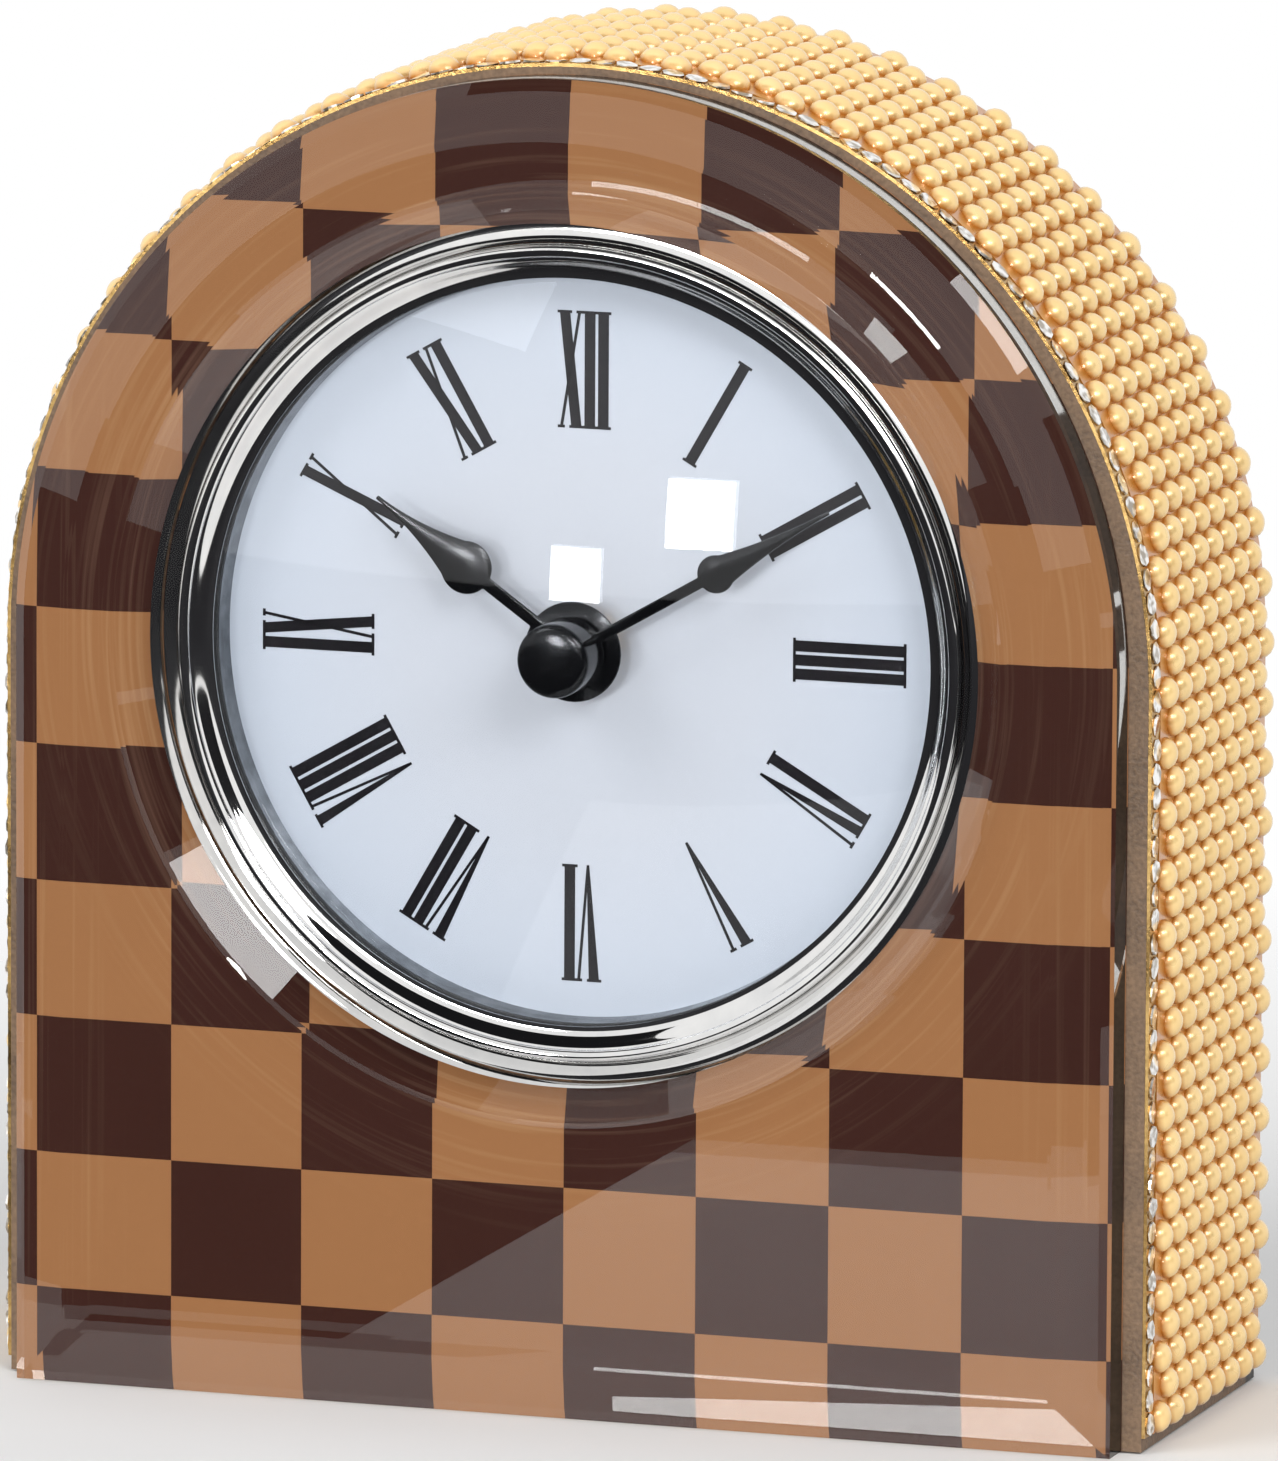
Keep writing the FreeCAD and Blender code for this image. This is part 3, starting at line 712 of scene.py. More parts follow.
@dataclass(frozen=True)
class CheckPrint(Coating):
    """Printed square checks with painted reflection streaks: light arcs round the hole and upright lines near
    the sides. Sizes in millimetres.
    """

    slot: str = "print_film"
    square: float = 13.8
    first_row: float = 9.2
    dark: Colour = (60, 30, 23)
    dark_worn: Colour = (52, 27, 21)
    # The two streak colours are painted reflections of the glass bevels, lighter than the dark and tan
    # squares.
    dark_reflection_streak: Colour = (132, 100, 84)
    tan: Colour = (172, 119, 79)
    tan_worn: Colour = (156, 108, 72)
    tan_reflection_streak: Colour = (214, 170, 128)
    fineness: float = 1500.0
    stretch: float = 14.0
    ring_from: float = 47.0
    ring_to: float = 60.0
    side_from: float = 44.0
    side_to: float = 53.0

    def odd(self, sheet: Sheet) -> bpy.types.NodeSocket:
        """Tell the tan squares from the dark ones.

        Args:
            sheet: the new material.
        Returns:
            0 on a tan square, 1 on a dark one.
        """
        nodes = sheet.nodes
        across, _, up = sheet.parts()
        lifted = nodes.math("SUBTRACT", up, self.first_row * MM)
        counts = [nodes.math("FLOOR", nodes.math("DIVIDE", part, self.square * MM))
                  for part in (across, lifted)]
        return nodes.math("FLOORED_MODULO", nodes.math("ADD", *counts), 2.0)

    def streaks(self, sheet: Sheet, effects: Effects) -> bpy.types.NodeSocket:
        """Lay painted reflection streaks: arcs round the hole and upright lines near the sides.

        Args:
            sheet: the new material.
            effects: the shared effects.
        Returns:
            How much they show.
        """
        nodes = sheet.nodes
        across, _, up = sheet.parts()
        # Painted reflection arcs round the hole, fading out between ring_from and ring_to.
        arcs = sheet.effect(effects.streaks, Fineness=self.fineness, Height=AXIS_HEIGHT * MM).outputs
        ring = nodes.between(arcs["Radius"], self.ring_from * MM, self.ring_to * MM, 0.34, 0.0)
        upright = nodes.combine(nodes.math("MULTIPLY", across, self.fineness),
                                nodes.math("MULTIPLY", up, self.stretch))
        lines = nodes.between(nodes.noise(upright, 1.0, 4.0), 0.55, 0.72, 0.0, 1.0)
        side = nodes.between(nodes.math("ABSOLUTE", across), self.side_from * MM, self.side_to * MM,
                             0.0, 0.22)
        return nodes.math("MAXIMUM", nodes.math("MULTIPLY", arcs["Mask"], ring),
                          nodes.math("MULTIPLY", lines, side))

    def paint(self, sheet: Sheet, effects: Effects) -> None:
        """Build the checks and their painted reflection streaks.

        Args:
            sheet: the new material.
            effects: the shared effects.
        """
        nodes = sheet.nodes
        odd = self.odd(sheet)
        grain = nodes.noise(sheet.place, 2400.0, 3.0)
        checks = nodes.blend(odd, nodes.mottle(grain, 0.3, 0.7, 0.07, self.tan, self.tan_worn),
                             nodes.mottle(grain, 0.3, 0.7, 0.08, self.dark, self.dark_worn))
        # Painted reflection: lighter colours laid over the checks where the glass bevels would reflect light.
        reflection_colour = nodes.blend(odd, linear(self.tan_reflection_streak), linear(self.dark_reflection_streak))
        sheet.set(Base_Color=nodes.blend(self.streaks(sheet, effects), checks, reflection_colour),
                  Specular_IOR_Level=0.08, Roughness=nodes.between(grain, 0.3, 0.7, 0.5, 0.65))


@dataclass(frozen=True)
class PearlCoat(Coating):
    """Champagne pearl lacquer; the deeper gold in the gaps is partly the backing sheet's own gold-brown and
    partly painted shade between the pearls. Sizes in millimetres.
    """

    slot: str = "pearl"
    crest: Colour = (250, 217, 152)
    warm_crest: Colour = (245, 205, 132)
    # The backing sheet's own gold-brown, also painted onto the pearls' feet as shade.
    foot: Colour = (196, 128, 48)
    wall: float = 59.35
    spring: float = 75.3
    shade_full_to: float = 0.5
    shade_clear_from: float = 1.25

    def paint(self, sheet: Sheet, effects: Effects) -> None:
        """Build the lacquer, with painted shade deepening it towards the wall it sits on.

        Args:
            sheet: the new material.
            effects: the shared effects.
        """
        nodes = sheet.nodes
        across, _, up = sheet.parts()
        # Painted shade: full foot colour near the wall, where the gaps between pearls lie, clearing to the
        # crest colour further out.
        over = nodes.math("MAXIMUM", nodes.math("SUBTRACT", up, self.spring * MM), 0.0)
        height = nodes.between(nodes.reach(across, over), (self.wall + self.shade_full_to) * MM,
                               (self.wall + self.shade_clear_from) * MM, 0.0, 1.0)
        cloud = nodes.noise(sheet.place, 260.0, 2.0)
        crest = nodes.mottle(cloud, 0.35, 0.65, 0.5, self.crest, self.warm_crest)
        sheet.set(Base_Color=nodes.blend(height, linear(self.foot), crest), Metallic=0.25, Coat_Weight=0.7,
                  Coat_Roughness=0.08, Roughness=nodes.between(cloud, 0.35, 0.65, 0.26, 0.36))


@dataclass(frozen=True)
class StoneGlass(Coating):
    """Bright faceted stones with painted glints and painted dark facet reflections."""

    slot: str = "crystal_trim"
    bright: Colour = (252, 251, 248)
    dark_facet_reflection: Colour = (150, 138, 120)

    def paint(self, sheet: Sheet, effects: Effects) -> None:
        """Build the stones' brilliance as a foil-backed glass, with painted glints and painted dark
        reflections mottled into its colour.

        Args:
            sheet: the new material.
            effects: the shared effects.
        """
        nodes = sheet.nodes
        glint_cells = nodes.noise(sheet.place, 1100.0, 1.0)
        # Noise patches paint glints and dark facet reflections into the base colour.
        sheet.set(Base_Color=nodes.mottle(glint_cells, 0.42, 0.62, 1.0, self.bright, self.dark_facet_reflection), Metallic=0.55,
                  Coat_Weight=1.0, Coat_Roughness=0.02, Roughness=nodes.between(glint_cells, 0.3, 0.7, 0.06, 0.16))


@dataclass(frozen=True)
class DialCard(Coating):
    """Satin pale blue-white enamel, a little deeper towards the rim. Sizes in millimetres."""

    slot: str = "dial_card"
    pale: Colour = (197, 198, 201)
    grey: Colour = (190, 191, 195)
    rim: Colour = (187, 196, 206)
    rim_from: float = 18.0
    rim_to: float = 38.0

    def paint(self, sheet: Sheet, effects: Effects) -> None:
        """Build the enamel.

        Args:
            sheet: the new material.
            effects: the shared effects.
        """
        nodes = sheet.nodes
        # Only the distance from the axis is read from the painted reflection arc effect here.
        streaks = sheet.effect(effects.streaks, Fineness=900.0, Height=AXIS_HEIGHT * MM)
        share = nodes.between(streaks.outputs["Radius"], self.rim_from * MM, self.rim_to * MM, 0.0, 0.5)
        fine = nodes.noise(sheet.place, 3000.0, 3.0)
        body = nodes.mottle(fine, 0.4, 0.6, 0.12, self.pale, self.grey)
        sheet.set(Base_Color=nodes.blend(share, body, linear(self.rim)), Coat_Weight=0.25,
                  Coat_Roughness=0.12, Roughness=nodes.between(fine, 0.3, 0.7, 0.34, 0.44))
        sheet.bump(fine, 0.003)


@dataclass(frozen=True)
class WoundWire(Coating):
    """Enamelled copper wire, wound turn beside turn across the movement. Sizes in millimetres."""

    slot: str = "coil_wire"
    turn: float = 0.16
    # gap: painted shade in the grooves between turns.
    gap: Colour = (110, 44, 18)
    crest: Colour = (206, 112, 62)

    def paint(self, sheet: Sheet, effects: Effects) -> None:
        """Build the winding's turns, with painted shade darkening the grooves between them.

        Args:
            sheet: the new material.
            effects: the shared effects.
        """
        nodes = sheet.nodes
        across, _, _ = sheet.parts()
        wave = nodes.math("SINE", nodes.math("MULTIPLY", across, math.tau / (self.turn * MM)))
        shade = nodes.between(wave, -1.0, 1.0, 0.0, 1.0)
        # The gap colour paints shade into the grooves between turns; the crest colour is the wire's own
        # copper.
        sheet.set(Base_Color=nodes.blend(shade, linear(self.gap), linear(self.crest)), Metallic=0.85,
                  Roughness=nodes.between(shade, 0.0, 1.0, 0.45, 0.28))
        sheet.bump(shade, 0.06)


@dataclass(frozen=True)
class CaseBoard(Coating):
    """Painted fibre board, grey-brown at the front and dark round the back. Sizes in millimetres."""

    slot: str = "case_board"
    low: Colour = (86, 66, 48)
    high: Colour = (126, 100, 76)
    dark: Colour = (26, 22, 21)
    dark_from: float = 19.4
    dark_fade: float = 0.4

    def paint(self, sheet: Sheet, effects: Effects) -> None:
        """Build the paint.

        Args:
            sheet: the new material.
            effects: the shared effects.
        """
        grain = sheet.effect(effects.grain, Scale=2200.0, Low=linear(self.low), High=linear(self.high),
                             Smooth=0.42, Rough=0.6).outputs
        _, back, _ = sheet.parts()
        dark_full = self.dark_from + self.dark_fade
        rear = sheet.nodes.between(back, self.dark_from * MM, dark_full * MM, 0.0, 1.0)
        sheet.set(Base_Color=sheet.nodes.blend(rear, grain["Color"], linear(self.dark)),
                  Roughness=grain["Roughness"])
        sheet.bump(grain["Height"], 0.06)


@dataclass(frozen=True)
class CellWrap(Coating):
    """A cell's printed sleeve between its bright metal ends. Sizes in millimetres."""

    slot: str = "battery_shell"
    left: float = -21.6
    right: float = 20.9
    band: float = 13.0
    low: Colour = (30, 34, 44)
    high: Colour = (46, 52, 66)
    silver: Colour = (172, 176, 182)
    metal: Colour = (204, 202, 196)

    def paint(self, sheet: Sheet, effects: Effects) -> None:
        """Build sleeve, band and ends by their place along the cell.

        Args:
            sheet: the new material.
            effects: the shared effects.
        """
        nodes = sheet.nodes
        grain = sheet.effect(effects.grain, Scale=900.0, Low=linear(self.low), High=linear(self.high),
                             Smooth=0.22, Rough=0.34).outputs
        across, _, _ = sheet.parts()
        ends = nodes.math("ADD", nodes.math("LESS_THAN", across, self.left * MM),
                          nodes.math("GREATER_THAN", across, self.right * MM))
        band = nodes.math("GREATER_THAN", across, self.band * MM)
        sleeve = nodes.blend(band, grain["Color"], linear(self.silver))
        sheet.set(Base_Color=nodes.blend(ends, sleeve, linear(self.metal)), Coat_Weight=0.4,
                  Metallic=nodes.math("MAXIMUM", ends, nodes.math("MULTIPLY", band, 0.6)),
                  Roughness=grain["Roughness"])


FINISHES: tuple[Coating, ...] = (
    Finish("back_board", (12, 10, 11), (30, 27, 28), 0.85, 1.0, scale=5200.0, relief=0.12, sheen=0.6),
    Finish("screw_steel", (168, 164, 156), (205, 202, 194), 0.22, 0.36, metallic=1.0, scale=1800.0),
    Finish("bezel_chrome", (222, 222, 222), (240, 239, 237), 0.02, 0.07, metallic=1.0, scale=300.0,
           relief=0.001),
    Finish("gasket_rubber", (16, 16, 16), (34, 34, 34), 0.6, 0.8, scale=2400.0),
    Finish("reveal_metal", (120, 122, 124), (168, 170, 172), 0.08, 0.16, metallic=1.0, scale=500.0,
           relief=0.002),
    Finish("cup_metal", (176, 172, 160), (196, 192, 180), 0.3, 0.42, metallic=0.8, scale=700.0),
    Finish("grip_rubber", (214, 208, 196), (232, 228, 220), 0.45, 0.6, scale=1500.0, relief=0.04),
    Finish("movement_plastic", (14, 14, 16), (34, 34, 37), 0.42, 0.6, scale=3600.0, relief=0.05),
    Finish("wheel_brass", (172, 128, 58), (214, 172, 92), 0.18, 0.32, metallic=1.0, scale=1400.0,
           relief=0.01),
    Finish("wheel_plastic", (214, 213, 202), (236, 236, 228), 0.25, 0.38, scale=1500.0),
    Finish("stator_steel", (140, 140, 140), (178, 178, 178), 0.25, 0.4, metallic=1.0, scale=2600.0),
    Finish("bobbin_plastic", (190, 182, 160), (214, 207, 188), 0.4, 0.55, scale=1800.0),
    Finish("board", (20, 76, 40), (36, 112, 60), 0.3, 0.45, scale=1300.0),
    Finish("contact_metal", (190, 188, 180), (226, 224, 216), 0.15, 0.3, metallic=1.0, scale=1600.0,
           relief=0.01),
    Finish("knob_plastic", (196, 190, 174), (220, 215, 202), 0.4, 0.55, scale=2600.0, relief=0.04),
    Finish("hand_black", (5, 5, 6), (12, 12, 13), 0.08, 0.18, scale=420.0, relief=0.004, coat=0.15,
           shine=0.3),
    ClearGlass("plate_glass", (246, 248, 247), (238, 238, 236), 1.5, 0.006),
    ClearGlass("lens_glass", (250, 252, 255), (247, 249, 252), 1.3, 0.008),
    CheckPrint(), PearlCoat(), StoneGlass(), DialCard(), WoundWire(), CaseBoard(), CellWrap(),
)
STONE_CUP = Finish("stone_cup", (150, 116, 66), (206, 172, 112), 0.2, 0.35, metallic=1.0, scale=1600.0)
DIAL_INK = Finish("dial_ink", (9, 6, 9), (18, 14, 17), 0.3, 0.42, scale=1500.0, relief=0.002, shine=0.1)


class Materials:
    """All finishes of the clock by the record's slot, with the stone cups' gold and the dial's ink."""

    def __init__(self, effects: Effects) -> None:
        """Build every finish.

        Args:
            effects: the shared effects.
        """
        self.by_slot = {finish.slot: finish.make(effects) for finish in FINISHES}
        self.gold = STONE_CUP.make(effects)
        self.ink = DIAL_INK.make(effects)

    @staticmethod
    def dress(piece: bpy.types.Object, *materials: bpy.types.Material) -> None:
        """Give a piece its materials, the first of them on every face.

        Args:
            piece: the object.
            materials: its materials.
        """
        piece.data.materials.clear()
        for material in materials:
            piece.data.materials.append(material)

    def finish(self, piece: bpy.types.Object, body: str, slot: str, *nodes: str) -> None:
        """Give a piece its slot's finish and tie it to its body.

        Args:
            piece: the object.
            body: the CAD body that it rides on.
            slot: the record's slot.
            nodes: the CAD nodes that it replaces.
        """
        self.dress(piece, self.by_slot[slot])
        place_piece(piece, body, slot, *nodes)

    def dress_node(self, piece: bpy.types.Object, slot: str) -> None:
        """Give a CAD node its finish through its own material slots.

        Args:
            piece: the node's object.
            slot: the record's slot.
        """
        if not piece.material_slots:
            piece.data.materials.append(self.by_slot[slot])
        for holder in piece.material_slots:
            holder.material = self.by_slot[slot]


def place_piece(piece: bpy.types.Object, body: str, slot: str, *nodes: str) -> None:
    """Tie a piece to its body and hide the CAD nodes that it stands for.

    Args:
        piece: the object.
        body: the CAD body that it rides on.
        slot: not used.
        nodes: the CAD nodes that it replaces.
    """
    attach(piece, body)
    if nodes:
        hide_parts(*nodes)
    log.info("%s rides on %s, %d faces", piece.name, body, len(piece.data.polygons))


# Sub-assemblies

@dataclass
class GlassFront:
    """The thick arched glass with its bevels and round hole. Sizes in millimetres."""

    half: float = 57.3
    top: float = 133.9
    front: float = -22.5
    back: float = -16.54
    bevel_width: float = 5.6
    bevel_depth: float = 2.3
    facet_width: float = 1.1
    facet_depth: float = 0.8
    hole_radius: float = 43.1
    hole_bevel: float = 3.4
    ease_width: float = 0.35
    ease_depth: float = 0.06
    hole_ease: float = 0.25
    overrun: float = 1.0

    def build(self, materials: Materials) -> None:
        """Model the plate, cut its hole and dress it, with a silvered wall in the hole.

        Args:
            materials: the clock's finishes.
        """
        piece = drawn_face(arch(self.half, self.top, 0.0, 120), self.back)
        push(self.front + self.bevel_depth - self.back)
        self.inset(self.facet_width, -self.facet_depth)
        self.inset(self.bevel_width - self.facet_width,
                   self.facet_depth + self.ease_depth - self.bevel_depth)
        self.inset(self.ease_width, -self.ease_depth)
        close_up()
        rim = self.hole_radius + self.hole_bevel
        slope = self.bevel_depth / self.hole_bevel
        ahead, behind = self.front - self.overrun, self.back + self.overrun
        cutter = turned("hole_cutter", [
            (0.0, ahead),
            (rim + self.hole_ease + 2.0 * self.overrun / slope, ahead),
            (rim + self.hole_ease, self.front),
            (rim - self.hole_ease, self.front + self.hole_ease * slope),
            (self.hole_radius, self.front + self.bevel_depth),
            (self.hole_radius, behind),
            (0.0, behind)], AXIS_HEIGHT, 256)
        cut_away(piece, cutter)
        settle(piece, "glass_plate", 6.0)
        materials.dress(piece, materials.by_slot["plate_glass"], materials.by_slot["bezel_chrome"])
        for face in piece.data.polygons:
            reach = math.hypot(face.center.x, face.center.z - AXIS_HEIGHT * MM)
            if abs(reach - self.hole_radius * MM) < 0.1 * MM and abs(face.normal.y) < 0.1:
                face.material_index = 1
        place_piece(piece, "case", "plate_glass", "glass_front")

    @staticmethod
    def inset(width: float, forward: float) -> None:
        """Inset the front face and move it along the depth.

        Args:
            width: the inset in millimetres.
            forward: the move along the depth in millimetres.
        """
        bpy.ops.mesh.inset(thickness=width * MM, depth=0.0, use_even_offset=True)
        bpy.ops.transform.translate(value=(0.0, forward * MM, 0.0))


@dataclass
class WallPath:
    """The way up one side wall of the case, over the arch and down the other side."""

    wall: float = 59.35
    top: float = 134.65
    foot: float = 1.4

    @property
    def spring(self) -> float:
        """Height where the arch begins."""
        return self.top - self.wall

    @property
    def length(self) -> float:
        """Length of the whole way."""
        return 2.0 * (self.spring - self.foot) + math.pi * self.wall

    def at(self, distance: float, lift: float, y: float) -> Matrix:
        """Place on the wall whose own Z points straight out of it.

        Args:
            distance: how far along the way.
            lift: height over the wall.
            y: the depth.
        Returns:
            The place as a matrix in metres.
        """
        rise = self.spring - self.foot
        sweep = math.pi * self.wall
        if distance < rise:
            turn, centre = math.pi, self.foot + distance
        elif distance < rise + sweep:
            turn, centre = math.pi - (distance - rise) / self.wall, self.spring
        else:
            turn, centre = 0.0, self.spring - (distance - rise - sweep)
        out = Vector((math.cos(turn), 0.0, math.sin(turn)))
        spot = (out * (self.wall + lift) + BACK * y + UP * centre) * MM
        turned_axes = Matrix((BACK.cross(out), BACK, out)).transposed().to_4x4()
        return Matrix.Translation(spot) @ turned_axes


@dataclass
class PearlWall:
    """Rows of half pearls on their sheet. Sizes in millimetres."""

    path: WallPath = field(default_factory=WallPath)
    rows: int = 111
    radius: float = 1.45
    swell: float = 1.14
    sheet: float = 0.45
    first_wide: float = -12.3
    first_narrow: float = -9.95
    pitch: float = 4.7
    cut: float = 0.1
    sink: float = 0.12
    row_shake: float = 0.12
    row_share: float = 0.6
    along_shake: float = 0.09
    depth_shake: float = 0.07
    seed: int = 7

    def one_pearl(self) -> bpy.types.Object:
        """Model one low pearl, cut flat where it sits on the sheet.

        Returns:
            The pearl, at the origin.
        """
        deselect_all()
        bpy.ops.mesh.primitive_uv_sphere_add(segments=14, ring_count=9, radius=self.radius * MM)
        start_edit()
        bpy.ops.mesh.bisect(plane_co=(0.0, 0.0, -self.cut * MM), plane_no=tuple(UP), clear_inner=True)
        take_all()
        bpy.ops.transform.resize(value=(self.swell, self.swell, 1.0), center_override=(0.0, 0.0, 0.0))
        end_edit()
        return bpy.context.active_object

    def build(self, materials: Materials) -> None:
        """Set the rows, add the sheet under them and dress both.

        Args:
            materials: the clock's finishes.
        """
        chance = random.Random(self.seed)
        pearl = self.one_pearl()
        bpy.ops.object.shade_smooth()
        step = self.path.length / self.rows
        pearls = []
        for row in range(self.rows):
            wide = row % 2 == 0
            first = self.first_wide if wide else self.first_narrow
            shift = chance.uniform(-self.row_shake, self.row_shake) * self.row_share
            for i in range(8 if wide else 7):
                along = (row + 0.5) * step + chance.uniform(-self.along_shake, self.along_shake)
                y = first + i * self.pitch + shift + chance.uniform(-self.depth_shake, self.depth_shake)
                lift = self.sheet - chance.uniform(0.0, self.sink)
                pearls.append(copied(pearl, self.path.at(along, lift, y)))
        bpy.data.objects.remove(pearl)
        pearls.append(self.backing())
        piece = join(pearls)
        pick(piece)
        bpy.ops.object.transform_apply(location=True, rotation=True, scale=True)
        piece.name = piece.data.name = "pearls"
        materials.finish(piece, "case", "pearl", "pearl_wrap")

    def backing(self) -> bpy.types.Object:
        """Model the thin sheet that carries the pearls.

        Returns:
            The sheet.
        """
        front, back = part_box("pearl_wrap")
        return wall_sheet("pearl_sheet", self.path, self.sheet, front.y / MM, back.y / MM)


def wall_sheet(name: str, path: WallPath, thickness: float, front: float, back: float,
               overrun: float = 1.0) -> bpy.types.Object:
    """Model a thin band that lies on the wall of the case.

    Args:
        name: its name.
        path: the way along the wall.
        thickness: its thickness in millimetres.
        front, back: the depths of its two edges.
        overrun: how far the core that hollows it reaches past it.
    Returns:
        The band.
    """
    outer = arch(path.wall + thickness, path.top + thickness, path.foot)
    piece = drawn_face(outer, front)
    push(back - front)
    close_up()
    core = drawn_face(arch(path.wall, path.top, path.foot - overrun), front - overrun)
    push(back - front + 2.0 * overrun)
    close_up()
    cut_away(piece, core)
    return settle(piece, name)


@dataclass
class StoneTrim:
    """Set stones along the front edge of the side wall. Sizes in millimetres."""

    path: WallPath = field(default_factory=WallPath)
    count: int = 139
    stone_radius: float = 1.12
    cup_radius: float = 1.14
    foot: float = 0.35
    middle: float = -15.02
    sides: int = 8
    girdle: float = 0.4
    girdle_middle: float = 0.3
    crown: float = 0.2
    crown_share: float = 0.78
    table: float = 0.12
    table_share: float = 0.66
    cup_height: float = 0.2
    cup_lip: float = 0.16
    cup_hollow: float = 0.08
    depth_shake: float = 0.1
    lean_shake: float = 9.0
    seed: int = 3

    def one_stone(self) -> bpy.types.Object:
        """Model a faceted stone: girdle, crown and table.

        Returns:
            The stone, at the origin.
        """
        self.start_disc(self.stone_radius, self.girdle, self.girdle_middle)
        extrude((0.0, 0.0, self.crown * MM))
        bpy.ops.transform.resize(value=(self.crown_share, self.crown_share, 1.0))
        bpy.ops.transform.rotate(value=math.pi / self.sides, orient_axis="Z", center_override=(0.0, 0.0, 0.0))
        extrude((0.0, 0.0, self.table * MM))
        bpy.ops.transform.resize(value=(self.table_share, self.table_share, 1.0))
        end_edit()
        return bpy.context.active_object

    def start_disc(self, radius: float, thickness: float, middle: float) -> None:
        """Start a stone or cup from a flat disc, and select its top face.

        Args:
            radius: the disc's radius.
            thickness: how thick it is.
            middle: the height of its middle.
        """
        deselect_all()
        bpy.ops.mesh.primitive_cylinder_add(vertices=self.sides, radius=radius * MM, depth=thickness * MM,
                                            location=(0.0, 0.0, middle * MM))
        start_edit()
        self.pick_top(middle * MM)

    @staticmethod
    def pick_top(height: float) -> None:
        """Select only the upward faces that lie above a height.

        Args:
            height: the height in metres.
        """
        bpy.ops.mesh.select_all(action="DESELECT")
        bpy.ops.mesh.select_mode(type="FACE")
        mesh = bmesh.from_edit_mesh(bpy.context.active_object.data)
        for face in mesh.faces:
            face.select_set(face.calc_center_median().z > height and face.normal.z > 0.9)
        bmesh.update_edit_mesh(bpy.context.active_object.data)

    def one_cup(self) -> bpy.types.Object:
        """Model the metal cup under a stone, drawn in to its girdle.

        Returns:
            The cup, at the origin.
        """
        self.start_disc(self.cup_radius, self.cup_height, self.cup_height / 2)
        bpy.ops.mesh.inset(thickness=self.cup_lip * MM, depth=0.0)
        extrude((0.0, 0.0, -self.cup_hollow * MM))
        end_edit()
        return bpy.context.active_object

    def build(self, materials: Materials) -> None:
        """Set every stone and cup, add the strip under them and dress them.

        Args:
            materials: the clock's finishes.
        """
        chance = random.Random(self.seed)
        stone, cup = self.one_stone(), self.one_cup()
        step = self.path.length / self.count
        stones, cups = [], []
        for i in range(self.count):
            y = self.middle + chance.uniform(-self.depth_shake, self.depth_shake)
            place = self.path.at((i + 0.5) * step, self.foot, y)
            lean = Matrix.Identity(4)
            for axis in "XY":
                turn = math.radians(chance.uniform(-self.lean_shake, self.lean_shake))
                lean = lean @ Matrix.Rotation(turn, 4, axis)
            spin = Matrix.Rotation(chance.uniform(0.0, math.tau), 4, "Z")
            stones.append(copied(stone, place @ lean @ spin))
            cups.append(copied(cup, place @ spin))
        bpy.data.objects.remove(stone)
        bpy.data.objects.remove(cup)
        front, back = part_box("rhinestone_trim")
        cups.append(wall_sheet("stone_strip", self.path, self.foot, front.y / MM, back.y / MM))
        gems = settle(join(stones), "stones", 1.0)
        materials.finish(gems, "case", "crystal_trim", "rhinestone_trim")
        metal = settle(join(cups), "stone_cups")
        materials.dress(metal, materials.gold)
        place_piece(metal, "case", "crystal_trim", "rhinestone_trim")


